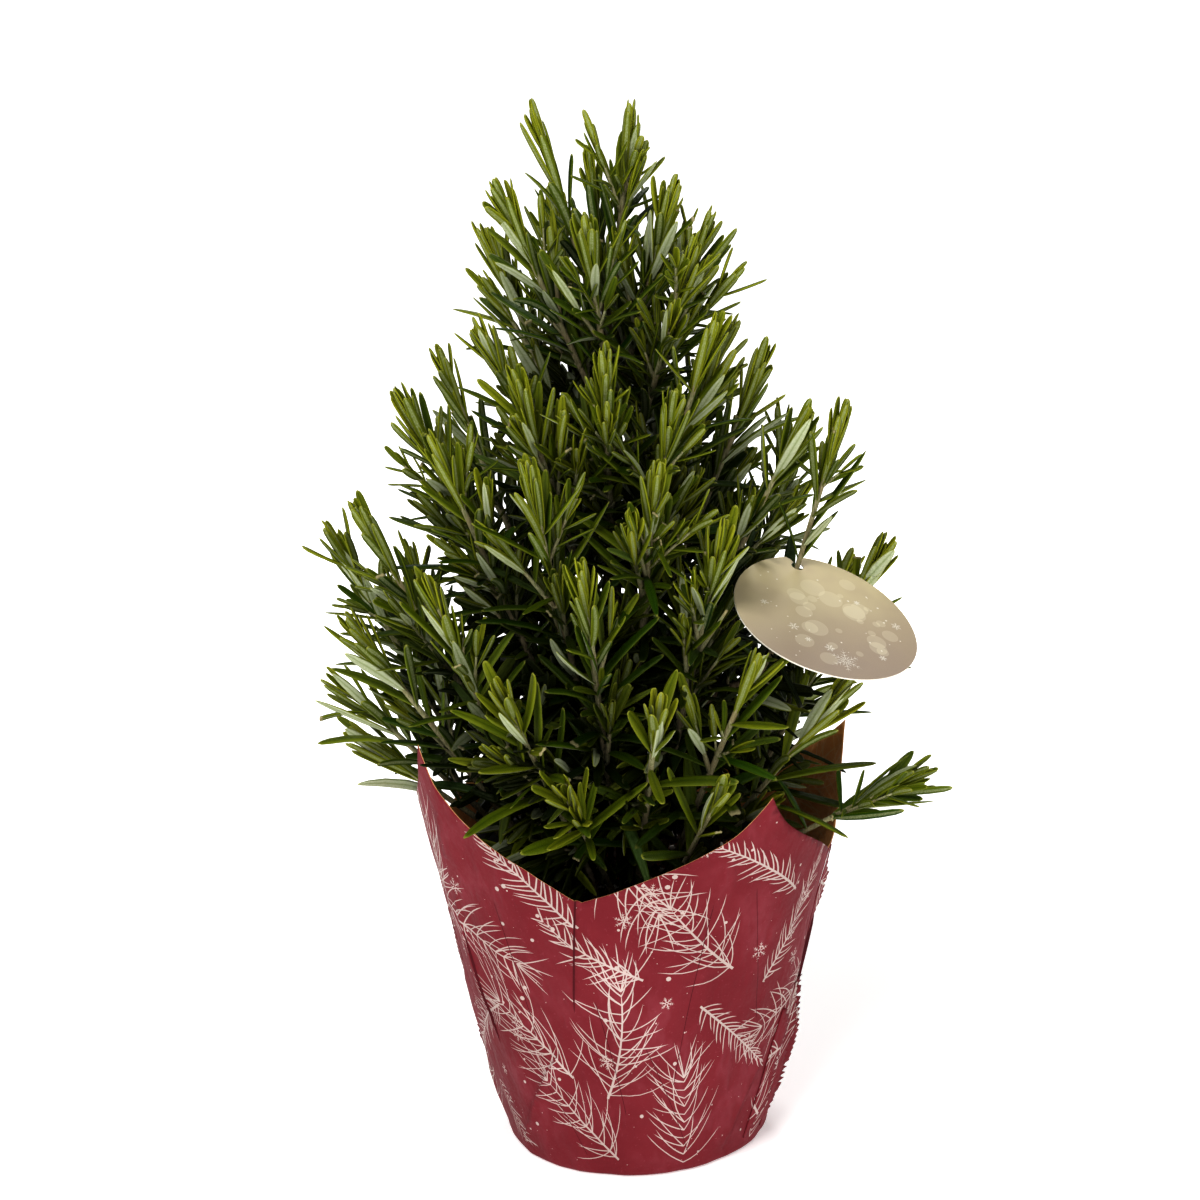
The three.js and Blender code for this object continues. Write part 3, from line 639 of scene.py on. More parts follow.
# Along a leaf: shares of its length, and there the widths beside the widest of a whole leaf, a cut
# one and one that shows its pale side.
LEAF_RINGS = np.array([0, 0.07, 0.22, 0.45, 0.7, 0.88, 0.965, 1.0])
LEAF_WIDTHS = np.array([
    [0.34, 0.5, 0.82, 1, 0.98, 0.84, 0.56, 0.18],
    [0.34, 0.5, 0.82, 1, 1, 1, 1, 0.96],
    [0.34, 0.48, 0.8, 1, 0.9, 0.62, 0.34, 0.1],
])
WHOLE, CUT, PALE = range(3)
PALE_LEAST = 20  # mm, the shortest leaf that is turned to show its pale side
CUT_CHANCE, PALE_CHANCE = 0.07, 0.38
# Round a leaf, from the left margin over the top and back below, in half widths.
ROUND_X = np.array([-1, -0.6, 0, 0.6, 1, 0.74, 0, -0.74])
ROUND_Y = np.array([-0.16, 0.2, 0.02, 0.2, -0.16, -0.46, -0.26, -0.46])
# The same corners' kind: how much each is margin, felt and midrib.
MARGIN, BLADE, RIB, LOWER, LOWER_RIB = [1, 0, 0], [0, 0, 0], [0, 0, 1], [0.4, 0.45, 0], [0, 1, 1]
ROUND_KIND = np.array([MARGIN, BLADE, RIB, BLADE, MARGIN, LOWER, LOWER_RIB, LOWER])


# The foliage reaches as far as the tips within so many mm of a height. Above them all and below the
# skirt's foot it reaches this far.
TIPS_NEAR, TOP_REACH, FOOT_TOP, FOOT_REACH = 30, 15, 150, 84


def envelope(z):
    near = [tip[1] for tip in SHOOTS if abs(tip[2] - z) < TIPS_NEAR] or [TOP_REACH]
    return max(near) if z > FOOT_TOP else FOOT_REACH


SHADE_FROM, SHADE_OVER = 20, 45  # mm from a shoot's tip where its shade starts, and over how much
SHADE_REACH, SHADE_DEPTH = 1.1, 0.38  # the same from the foliage's surface in, as shares of its reach
ENVELOPE_Z = np.arange(90, 411, 10)
ENVELOPE = np.array([envelope(z) for z in ENVELOPE_Z])


def shade_at(point, tip):
    """How much painted shade growth gets at a place: 0 near its shoot's tip to 1 deep in the plant."""
    reach = np.hypot(point[0], point[1]) / np.interp(point[2], ENVELOPE_Z, ENVELOPE)
    from_tip = np.clip((np.linalg.norm(point - tip) - SHADE_FROM) / SHADE_OVER, 0, 1)
    return float(from_tip * np.clip((SHADE_REACH - reach) / SHADE_DEPTH, 0, 1))


def lowness(tip):
    """1 for the shoots of the skirt and 0 for those above it."""
    return float(np.clip((SKIRT_TOP - tip[2]) / SKIRT_OVER, 0, 1))


def highness(tip):
    """1 for the slim shoots at the crown and 0 for those below it."""
    return float(np.clip((tip[2] - CROWN_FOOT) / CROWN_OVER, 0, 1))


def leaf_boxes(count):
    """A place in the shoot's map for each leaf, in rows above the strip of its stems."""
    rows = math.ceil(math.sqrt(count / 3))
    columns = math.ceil(count / rows)
    k = np.arange(count)
    u, v = (k % columns) / columns, STEM_STRIP + (1 - STEM_STRIP) * (k // columns) / rows
    wide, tall = 0.92 / columns, 0.96 * (1 - STEM_STRIP) / rows
    return np.stack([u, v, u + wide, v + tall], 1)


class Leaves:
    """The leaves of one shoot, gathered one by one and then shaped together."""

    def __init__(self, rng, tip, tag_centre):
        self.rng, self.tip, self.tag_centre, self.made = rng, tip, tag_centre, []
        self.low = lowness(tip)
        self.youth_shift, self.tone_shift = rng.normal(0, 0.08), rng.normal(0, 0.1)

    def add(self, root, ahead, face, length, width, youth, arch):
        """A leaf of its own age, bend and colour, where nothing is in its way."""
        rng = self.rng
        age = 1 - youth
        cut = rng.random() < CUT_CHANCE * (youth < 0.7)
        old_enough = not cut and youth < 0.8 and length > PALE_LEAST
        pale = rng.uniform(0.5, 1) if old_enough and rng.random() < PALE_CHANCE else 0.0
        leaf = {
            "root": root,
            "ahead": ahead,
            "face": face,
            "length": length,
            "width": width * (1.2 if pale else 1),
            "arch": arch + rng.normal(0, 0.03 + 0.05 * age),
            "sickle": rng.normal(0, 0.02 + 0.05 * age),
            "twist": rng.normal(0, 0.3),
            "droop": max(0, age * (0.16 + 0.05 * self.low + rng.normal(0, 0.1))),
            "youth": np.clip(youth + self.youth_shift + rng.normal(0, 0.09), 0, 1),
            "tone": np.clip(0.5 + 0.3 * self.low + self.tone_shift + rng.normal(0, 0.3), 0, 1),
            # Painted shade, a little less on the skirt's shoots: darker deep in the plant and far from the
            # tip.
            "shade": (0.96 - 0.12 * self.low) * shade_at(root + ahead * length / 2, self.tip),
            "form": PALE if pale else CUT if cut else WHOLE,
            "pale": pale,
        }
        if cut:
            leaf["length"] *= rng.uniform(0.45, 0.8)
        steps = np.arange(1, 9)[:, None] / 8
        bend = -face * leaf["arch"] - UP * leaf["droop"]
        if has_room(root + length * (ahead * steps + bend * steps**2), width / 2, self.tag_centre):
            self.made.append(leaf)

    def shape(self, skin):
        made = {field: np.array([leaf[field] for leaf in self.made]) for field in self.made[0]}
        each = {field: values[:, None, None] for field, values in made.items()}
        s = LEAF_RINGS[None, :, None]
        ahead, face = made["ahead"][:, None], made["face"][:, None]
        bend = np.cross(ahead, face) * each["sickle"] - face * each["arch"] - UP * each["droop"]
        middle = made["root"][:, None] + each["length"] * (ahead * s + bend * s**2)
        tangent = unit(ahead + 2 * bend * s)
        up = unit(face - tangent * (face * tangent).sum(2, keepdims=True))
        across = np.cross(tangent, up)
        turn = each["twist"] * s
        up, across = up * np.cos(turn) + across * np.sin(turn), across * np.cos(turn) - up * np.sin(turn)
        half = (made["width"][:, None] / 2 * LEAF_WIDTHS[made["form"]])[:, :, None, None]
        spokes = across[:, :, None] * ROUND_X[:, None] + up[:, :, None] * ROUND_Y[:, None]
        rings = middle[:, :, None] + half * spokes

        def painted(*parts):
            return np.stack([np.broadcast_to(part, rings.shape[:3]) for part in parts], 3)

        values = {
            "leaf": np.broadcast_to(ROUND_KIND, rings.shape),
            "grow": painted(s, each["youth"], each["tone"]),
            # Cut tips, painted shade and the pale side, for the leaf material.
            "wear": painted(each["form"] == CUT, each["shade"], each["pale"]),
        }
        skin.add_tubes(rings, 0, leaf_boxes(len(rings)), **values)


def axes_of(ahead, roll):
    """Two directions square to a stem, the first turned by roll from the one nearest +X."""
    across = unit(np.array([1.0, 0, 0]) - ahead * ahead[0])
    other = np.cross(ahead, across)
    turn = math.radians(roll)
    return across * math.cos(turn) + other * math.sin(turn), other * math.cos(turn) - across * math.sin(turn)


def leafy_run(leaves, start, end, roll, look):
    """Crossed pairs of leaves from start to end. look gives their sizes by share of the run."""
    rng = leaves.rng
    run = np.linalg.norm(end - start)
    ahead = (end - start) / run
    across, other = axes_of(ahead, roll)
    pairs = max(2, round(run / look["spacing"]))
    wild = look["wild"]
    nodes = []
    for pair in range(pairs):
        share = pair / (pairs - 1)
        root = start + ahead * run * share
        for side in (0, 180):
            turn = math.radians(pair * 90 + side + rng.normal(0, 14 * wild))
            out = across * math.cos(turn) + other * math.sin(turn)
            tilt = math.radians(max(2, look["tilt"](share) + rng.normal(0, 12 * wild)))
            direction = out * math.sin(tilt) + ahead * math.cos(tilt)
            face = ahead * math.sin(tilt) - out * math.cos(tilt)
            length = look["length"](share) * rng.uniform(1 - 0.35 * wild, 1 + 0.15 * wild)
            width = look["width"] * rng.uniform(0.85, 1.15)
            nodes.append((root, out, ahead, share))
            if rng.random() > 0.12 * wild:
                leaves.add(root, direction, face, length, width, look["youth"](share), look["arch"](share))
    return nodes


def looks_of(low, high):
    """How leaves grow on the main run, the tip, side tufts and old wood of a shoot.

    low is 1 on the skirt's shoots, and high is 1 on the slim shoots at the crown. Spacing, length and
    width are in mm and tilt in degrees, and s is the share of the run."""
    return {
        "main": {
            "spacing": 5.5 + 4.3 * low,
            "tilt": lambda s: 48 + 24 * low - 23 * high - (36 + 14 * low - 16 * high) * s**1.2,
            "length": lambda s: 34 - 4 * high + 8 * low + 3 * math.sin(math.pi * s) - 12 * s**4,
            "width": 3.5 + 0.7 * low,
            "youth": lambda s: 0.05 + (0.75 - 0.3 * low) * s**2,
            "arch": lambda s: 0.08 - 0.11 * s,
            "wild": 1.0 - 0.5 * high,
        },
        "tip": {
            "spacing": 3.1 + 0.9 * low + 1.4 * high,
            "tilt": lambda s: 12 - 4 * high + 6 * low - (6 + 4 * low - 1.5 * high) * s,
            "length": lambda s: 31 + 5 * low + 2 * high - 15 * s,
            "width": 2.9,
            "youth": lambda s: 0.8 - 0.12 * low + 0.2 * s,
            "arch": lambda s: -0.04,
            "wild": 0.4 - 0.2 * high,
        },
        "tuft": simple_look(3.2, (42, -30), (15, -4), 2.5, (0.35, 0.4), (-0.03, 0), 0.8),
        "branch": {
            **simple_look(5.2, (42, -29), (28, -7), 3.1, (0, 0), (0.03, -0.06), 1.0),
            "youth": lambda s: 0.12 + 0.7 * s**2,
        },
        "branch tip": simple_look(3.2, (13, -8), (23, -8), 2.6, (0.75, 0.25), (-0.04, 0), 0.5),
        "wood": simple_look(6.5 + 2 * low, (72, -10), (36, 0), 4.0, (0.03, 0), (0.1, 0), 1.2),
    }


def simple_look(spacing, tilt, length, width, youth, arch, wild):
    """A look whose tilt, length, youth and arch each start at one number and change by another."""
    look = {"spacing": spacing, "width": width, "wild": wild}
    for name, (start, change) in {"tilt": tilt, "length": length, "youth": youth, "arch": arch}.items():
        look[name] = lambda s, start=start, change=change: start + change * s
    return look


def smooth_path(corners, per_span=6):
    """A curve through the stem's corners, with its last, leafy span kept straight."""
    points = []
    padded = [2 * corners[0] - corners[1], *corners]
    for p0, p1, p2, p3 in zip(padded, padded[1:], padded[2:], padded[3:]):
        for t in np.arange(per_span) / per_span:
            bent = (2 * p0 - 5 * p1 + 4 * p2 - p3) * t**2 + (3 * p1 - p0 - 3 * p2 + p3) * t**3
            points.append(p1 + 0.5 * ((p2 - p0) * t + bent))
    bend, end = corners[-2:]
    points += [bend + (end - bend) * t for t in np.linspace(0, 1, 9)]
    return np.array(points)


STEM_STRIP = 0.08  # the part of a shoot's map that its stems use
BRANCH_CHANCE, BRANCH_TOP = 0.19, 0.62  # branches leave the leafy run below this share of it
TIP_RUN, WOOD_LEAST = 14, 12  # mm of tip leaves, and the shortest old wood that bears leaves
TWIG_ROOM = 1.5  # mm kept clear round a side twig
ROLL_STEP = 37  # degrees that each shoot's leaves are turned from the last one's


def leaning(out, up_stem, tilt, lift):
    """A direction that leaves a stem at a tilt and is then lifted."""
    tilt = math.radians(tilt)
    return unit(out * math.sin(tilt) + up_stem * math.cos(tilt) + UP * lift)


def add_shoot(index, stem, materials, tag_centre):
    """One shoot: its stem, its leaves, and the branches and tufts at its nodes."""
    rng = np.random.default_rng(SEEDS["shoot"] + index)
    corners = stem["corners"]
    leaves = Leaves(rng, corners[-1], tag_centre)
    bend, end = corners[-2:]
    ahead = unit(end - bend)
    roll = (ROLL_STEP * index) % 90
    path = smooth_path(corners)
    share = np.linspace(0, 1, len(path))
    twigs = [(path, STEM_RADII[1] - 0.8 * share, np.clip(share * 1.6 - 0.75, 0, 1))]

    stop = end - ahead * LEAF_FROM_END
    low_down, high_up = lowness(stem["tip"]), highness(stem["tip"])
    looks = looks_of(low_down, high_up)
    nodes = leafy_run(leaves, bend + ahead * 2, stop, roll, looks["main"])
    leafy_run(leaves, stop - ahead * TIP_RUN, end, roll + 45, looks["tip"])
    lower = corners[1:-1] if stem["in_soil"] else corners[:-1]
    for low, high in zip(lower[:-1], lower[1:]):
        if np.linalg.norm(high - low) > WOOD_LEAST:
            nodes += [(*node[:3], -1) for node in leafy_run(leaves, low, high, roll, looks["wood"])]

    def grow_twig(root, tip, thick, runs):
        """A side twig with its leaves, where nothing is in its way."""
        line = root + (tip - root) * np.linspace(0, 1, 6)[:, None]
        if not (clear_of_tag(line, TWIG_ROOM, tag_centre) and has_room(line[1:], TWIG_ROOM, tag_centre)):
            return
        before = len(leaves.made)
        for low, high, turned, look in runs:
            leafy_run(leaves, root + (tip - root) * low, root + (tip - root) * high, turned, look)
        if len(leaves.made) > before:
            twigs.append((line, thick * np.linspace(1, 0.5, 6), np.linspace(0.65, 1, 6)))

    for root, out, up_stem, at in nodes:
        if 0 < at < BRANCH_TOP and rng.random() < BRANCH_CHANCE * (1 - 0.8 * low_down - 0.6 * high_up):
            direction = leaning(out, up_stem, rng.uniform(22, 38), 0.4)
            room = (corners[-1][2] + 2 - root[2]) / max(direction[2], 0.3) - 20
            tip = root + direction * min(rng.uniform(20, 38), max(room, 6))
            turned = rng.uniform(0, 90)
            runs = [(0.12, 0.9, turned, looks["branch"]), (0.68, 0.98, turned + 45, looks["branch tip"])]
            grow_twig(root, tip, 1.0, runs)
            continue
        inner = at < 0
        chance = (0.25 - 0.16 * low_down) * (1 - 0.5 * high_up) * (1 - max(0, at - 0.6) * 2.6)
        if rng.random() > (0.55 - 0.38 * low_down if inner else chance):
            continue
        size = rng.uniform(1.3, 2.2) if inner else rng.uniform(0.9, 1.9 - 0.4 * at)
        direction = leaning(out, up_stem, rng.uniform(*((45, 75) if inner else (24, 44))), 0.15)
        reach = rng.uniform(4, 11) if rng.random() < 0.7 else rng.uniform(14, 26)
        look = {**looks["tuft"], "length": lambda s: looks["tuft"]["length"](s) * size}
        look["width"] *= 1 + 0.45 * inner
        runs = [(min(2, reach / 3) / reach, 1, rng.uniform(0, 90), look)]
        grow_twig(root, root + direction * reach * size, 0.8, runs)

    skin = Skin()
    leaves.shape(skin)
    step = 1 / max(len(twigs) - 1, 1)
    for k, (line, radii, youth) in enumerate(twigs):
        rings = tube_rings(line, radii, 8, 0.1)
        grow, wear = np.zeros(rings.shape), np.zeros(rings.shape)
        grow[..., 1] = youth[:, None]
        # Painted shade on the stems, half as strong as on the leaves.
        wear[..., 1] = 0.5 * np.array([shade_at(point, corners[-1]) for point in line])[:, None]
        box = [(k - 1) * step, STEM_STRIP * 0.65, (k - 0.1) * step, STEM_STRIP * 0.95]
        skin.add_tubes(rings[None], 1, [box if k else [0, 0, 1, STEM_STRIP * 0.6]], grow=grow, wear=wear)
    name = f"{index + 1:02d}"
    skin.finish("leafy_shoot_" + name, materials, "rosemary_leaf", "shoot_" + name)


TRUNK_RINGS, TRUNK_SIDES = 60, 16


def add_trunk(material):
    """The woody main stem, ridged and knotted."""
    heights = np.linspace(TRUNK["foot"], TRUNK["top"], TRUNK_RINGS)
    rng = np.random.default_rng(SEEDS["trunk"])
    knots = 1 + 0.12 * rng.random(TRUNK_RINGS) * (rng.random(TRUNK_RINGS) < 0.4)
    path = np.array([axis_at(z) for z in heights])
    rings = tube_rings(path, trunk_radius(heights) * knots, TRUNK_SIDES)
    ridges = 1 + 0.05 * np.sin(5 * around(TRUNK_SIDES) + heights[:, None] / 14)
    ridges += 0.03 * rng.random((TRUNK_RINGS, TRUNK_SIDES))
    rings = path[:, None] + (rings - path[:, None]) * ridges[..., None]
    skin = Skin()
    # Painted shade: the whole trunk is darkened 0.55 of the way towards near black.
    skin.add_tubes(rings[None], 0, [[0, 0, 1, 1]], grow=np.zeros(3), wear=np.array([0, 0.55, 0]))
    skin.finish("woody_trunk", [material], "bark", "trunk")


# ---- The paper cover ----

# The fold paper is a darker red on the steep sides of pleats and creases: a painted shadow line.
RED, INK, KRAFT, KRAFT_INK, FOLD_PAINTED_SHADE = range(5)  # its papers: outside, inside and in the folds
# The sheet is laid out flat: x in millimetres of paper from the front, y the height.
ARC = 1.22  # mm of paper for a degree
SEAM_X = 180 * ARC
PAPER = 0.35
SHEET_FOOT = COVER["corner"]

# Soft waves round the wall: how many, how high (mm), phase, and how much they wander with height.
WAVES = [(7, 0.35, 0.4, 0.012), (13, 0.3, 2.1, -0.02), (22, 0.2, 4.0, 0.03), (37, 0.12, 1.0, -0.03)]

# Pleats, from the top down: azimuth and height at both ends, how far the step stands off, and how
# wide its flank is (mm). A step to the left of its line has a negative width.
PLEATS = [
    (-15.5, 123, -20, 74, 1.5, -18),
    (-60, 150, -62, 62, 1.3, 13),
    (-28, 55, -57, 6, 1.6, 15),
    (52, 46, 36, 4, 1.8, -16),
    (70, 66, 62, 6, 1.4, -10),
    (-78, 78, -96, 6, 1.4, 13),
    (88, 92, 84, 8, 1.5, 13),
    (112, 60, 128, 5, 1.5, -14),
    (150, 127, 154, 70, 1.4, 15),
    (166, 52, 146, 6, 1.5, 13),
    (206, 110, 203, 12, 1.2, -12),
    (232, 66, 219, 6, 1.5, -12),
    (251, 124, 249, 60, 1.3, 14),
    (258, 48, 276, 5, 1.5, 14),
    (300, 100, 303, 50, 1.0, -10),
]
# Creases: azimuth and height at both ends, how deep, and how far their sides reach.
CREASES = [
    (-13, 80, -5, 28, 0.6, 6),
    (22, 118, 12, 40, 0.5, 7),
    (-42, 118, -36, 60, 0.6, 7),
    (35, 120, 44, 60, 0.5, 8),
    (98, 100, 104, 40, 0.6, 7),
    (175, 110, 168, 30, 0.6, 7),
    (238, 100, 232, 72, 0.5, 7),
    (282, 110, 290, 30, 0.6, 7),
    (325, 40, 338, 8, 0.5, 7),
    (2, 60, 20, 8, 0.45, 6),
    (66, 120, 70, 80, 0.5, 7),
]
# Loose layers of the pleats, bound along a line and free beside it: the line's ends as above, the
# flap's width (mm, negative to the left) and how far its free edge stands off.
FLAPS = [
    (60, 58, 49, 6, 9, 1.4),
    (71, 64, 62, 6, 8, 3.0),
    (84, 60, 80, 8, 7, 3.8),
    (78, 117, 75, 84, 7, 1.8),
    (-84, 96, -94, 6, -8, 2.4),
    (139, 66, 130, 6, 9, 2.0),
    (197, 60, 207, 6, -9, 1.8),
    (247, 62, 238, 6, 9, 2.0),
]
FLAP_TOOTH, TOOTH_PITCH = 2.2, 1.2  # how deep its pinked edge is, and half a tooth's length (mm)
FLAP_GRID = 2.2  # mm between its loose corners
FOLD_HALF = 0.16  # half the width of a fold's steep side


def line_distance(azimuth, z, line):
    """How far right of a fold line a place is (mm of paper), and how far inside its ends, 0 to 1."""
    top, high, foot, low = line[:4]
    share = (np.asarray(z) - low) / (high - low)
    here = foot + (top - foot) * share
    away = (np.asarray(azimuth) - here + 180) % 360 - 180
    room = share if high > edge_height(top) - 3 else np.minimum(share, 1 - share)
    ends = np.clip(room * (high - low) / 9, 0, 1)
    return away * ARC, ends


def relief(azimuth, z):
    """How far the paper stands off its cone."""
    azimuth, z = np.broadcast_arrays(np.asarray(azimuth, float), np.asarray(z, float))
    height = np.zeros(azimuth.shape)
    for count, size, phase, wander in WAVES:
        height += size * np.sin(np.radians(count * azimuth) + phase + wander * z * count / 7)
    height *= 0.55 + 0.45 * np.clip((z - 20) / 60, 0, 1)
    for line in PLEATS:
        step, width = line[4:]
        away, ends = line_distance(azimuth, z, line)
        away = away * np.sign(width)
        rise = np.clip((away + FOLD_HALF) / (2 * FOLD_HALF), 0, 1)
        height += step * ends * rise * np.clip(1 - away / abs(width), 0, 1) ** 1.3
    for line in CREASES:
        depth, reach = line[4:]
        away, ends = line_distance(azimuth, z, line)
        height -= depth * ends * np.clip(1 - np.abs(away) / reach, 0, 1) ** 1.5
    return height


def folded(places):
    """Which flat places lie on the steep side of a fold."""
    azimuth, z = places[:, 0] / ARC, places[:, 1]
    found = np.zeros(len(places), bool)
    for line in PLEATS + CREASES:
        away, ends = line_distance(azimuth, z, line)
        found |= (np.abs(away) < FOLD_HALF * 1.02) & (ends > 0.15) & (z < line[1]) & (z > line[3])
    return found


def paper_place(azimuth, z, inset=0.0):
    """The cover's surface at an azimuth and height, as (n, 3)."""
    radius = cover_radius(azimuth, z) + relief(azimuth, z) - inset
    return ring_at(radius, np.radians(azimuth), z) + COVER["tilt"] * z[:, None] * [1, 0, 0]


def facing(heading):
    return np.array([math.cos(heading), math.sin(heading)])


def along_twig(start, heading, length, bend, s):
    """The place and the heading at a share s of a curved line on the flat sheet."""
    ahead, side = facing(heading), facing(heading + math.pi / 2)
    return start + length * (ahead * s + side * bend * s * s), heading + math.atan(2 * bend * s)


def stroke(start, heading, length, width, bend=0.0, taper=0.55, steps=4):
    """A drawn line with a pointed end, as the corners of its outline."""
    left, right = [], []
    for s in np.arange(steps) / steps:
        middle, turned = along_twig(start, heading, length, bend, s)
        half = width / 2 * (1 - taper * s) * facing(turned + math.pi / 2)
        left.append(middle - half)
        right.append(middle + half)
    return np.array([*left, along_twig(start, heading, length, bend, 1)[0], *right[::-1]])


def fir_sprig(rng, start, heading, length, needle, width):
    """A curved twig with short needles on both sides, longest below its middle."""
    bend = rng.uniform(-0.22, 0.22)
    strokes = [stroke(start, heading, length, width * 1.5, bend, 0.6, 6)]
    count = int(length / 2.5)
    for k in range(count):
        s = (k + 0.6) / count
        root, turned = along_twig(start, heading, length, bend, s)
        size = needle * (0.62 + 0.5 * math.sin(math.pi * min(1, s * 1.15))) * (1 - 0.35 * s)
        for way in (-1, 1):
            angle = turned + way * math.radians(52 * (1.1 - 0.45 * s) + rng.normal(0, 9))
            long, wide = size * rng.uniform(0.7, 1.15), width * rng.uniform(0.75, 1.1)
            strokes.append(stroke(root, angle, long, wide, -way * rng.uniform(0.0, 0.3), 0.35))
    return strokes


def pine_spray(rng, start, heading, length, needle, width):
    """A twig with long thin needles, which leave it in loose pairs and curve, and a fan at its end."""
    bend = rng.uniform(-0.3, 0.3)
    strokes = [stroke(start, heading, length, width * 2.2, bend, 0.5, 8)]
    count = int(length / 3.5)
    for k in range(count):
        s = (k + 0.5) / count
        root, turned = along_twig(start, heading, length, bend, s)
        for way in (-1, 1):
            for _ in range(1 + (rng.random() < 0.45)):
                angle = turned + way * math.radians(rng.uniform(30, 88))
                long = needle * rng.uniform(0.7, 1.1) * (1 - 0.25 * s)
                wide = width * rng.uniform(0.8, 1.2)
                strokes.append(stroke(root, angle, long, wide, -way * rng.uniform(0.1, 0.6), 0.3, 6))
    end, turned = along_twig(start, heading, length, bend, 1)
    for spread in (-44, -27, -11, 6, 21, 40):
        angle = turned + math.radians(spread + rng.normal(0, 4))
        long, curve = needle * rng.uniform(0.6, 0.9), rng.uniform(-0.2, 0.2)
        strokes.append(stroke(end, angle, long, width, curve, 0.3, 5))
    return strokes


def snowflake(at, radius, turn, width):
    """Six arms with two pairs of barbs each."""
    strokes = []
    for arm in range(6):
        heading = turn + arm * math.pi / 3
        start = at + facing(heading) * radius * 0.12
        strokes.append(stroke(start, heading, radius, width, taper=0.2, steps=1))
        for share, long in ((0.45, 0.34), (0.72, 0.24)):
            root = at + facing(heading) * radius * share
            for way in (-1, 1):
                barb = heading + way * math.radians(55)
                strokes.append(stroke(root, barb, radius * long, width * 0.8, taper=0.2, steps=1))
    return strokes


def arc(turn):
    return np.stack([np.cos(turn), np.sin(turn)], 1)


def dot(at, radius, sides):
    return at + radius * arc(around(sides))


PRINT_COLUMNS, PRINT_ROWS = 10, (20, 57, 96, 136)
PRINT_FLAKES, PRINT_DOTS, PRINT_SPECKS = 46, 230, 620
HEADINGS = (62, 118, 80, 205, -32, 148)


def sprig_heading(rng):
    return math.radians(rng.choice(HEADINGS) + rng.uniform(-14, 14))


def print_layout():
    """Every drawn outline of the cover's print: sprigs in staggered rows, with flakes and dots between."""
    rng = np.random.default_rng(SEEDS["print"])
    shapes = []
    pitch = 2 * SEAM_X / PRINT_COLUMNS
    for row, height in enumerate(PRINT_ROWS):
        for column in range(PRINT_COLUMNS):
            x = -SEAM_X + pitch * (column + 0.5 + 0.5 * (row % 2)) + rng.uniform(-6, 6)
            y = height + rng.uniform(-6, 6)
            heading = sprig_heading(rng)
            long_needled = (column + row) % 5 not in (1, 3)
            length = rng.uniform(*((38, 50) if long_needled else (42, 56)))
            start = np.array([x, y]) - length / 2 * facing(heading)
            if long_needled:
                shapes += pine_spray(rng, start, heading, length, rng.uniform(20, 27), 0.5)
            else:
                shapes += fir_sprig(rng, start, heading, length, rng.uniform(10, 14), 0.66)

    def anywhere(low, high):
        return np.array([rng.uniform(-SEAM_X, SEAM_X), rng.uniform(low, high)])

    for _ in range(PRINT_FLAKES):
        shapes += snowflake(anywhere(8, 150), rng.uniform(2.2, 4.2), rng.uniform(0, 1), 0.5)
    shapes += [dot(anywhere(6, 165), rng.uniform(0.35, 1.0), 7) for _ in range(PRINT_DOTS)]
    shapes += [dot(anywhere(5, 165), rng.uniform(0.14, 0.26), 4) for _ in range(PRINT_SPECKS)]
    return shapes


def cut_flat(border, shapes, lines=(), loose=()):
    """Cuts a flat sheet into triangles along the outlines and lines drawn on it.

    Returns the flat corners, the triangles, and for each triangle the shapes that cover it."""
    points, edges, outlines = [], [], []
    for k, outline in enumerate([border, *shapes, *lines]):
        ids = list(range(len(points), len(points) + len(outline)))
        points.extend(np.asarray(outline, float).tolist())
        if k <= len(shapes):
            outlines.append(ids)
        else:
            edges.extend(zip(ids[:-1], ids[1:]))
    points.extend(loose)
    inside_only, closest = 1, 1e-4
    made = delaunay_2d_cdt([Vector(p) for p in points], edges, outlines, inside_only, closest, True)
    corners, faces, sources = np.array([list(c) for c in made[0]]), made[2], made[5]
    kept = [(list(face), [k - 1 for k in source if k]) for face, source in zip(faces, sources) if 0 in source]
    used = sorted({v for face, _ in kept for v in face})
    order = {v: k for k, v in enumerate(used)}
    return corners[used], [[order[v] for v in face] for face, _ in kept], [over for _, over in kept]


GRID = 3.4  # mm between the sheet's loose corners, which let it curve
LEAST_TOP, EDGE_ROOM = 0.3, 1.2  # mm that drawn lines and loose corners keep inside its edge
FOOT_STEPS, SIDE_STEPS, FOLD_STEPS, TURN_STEP = 145, 38, 24, 0.75


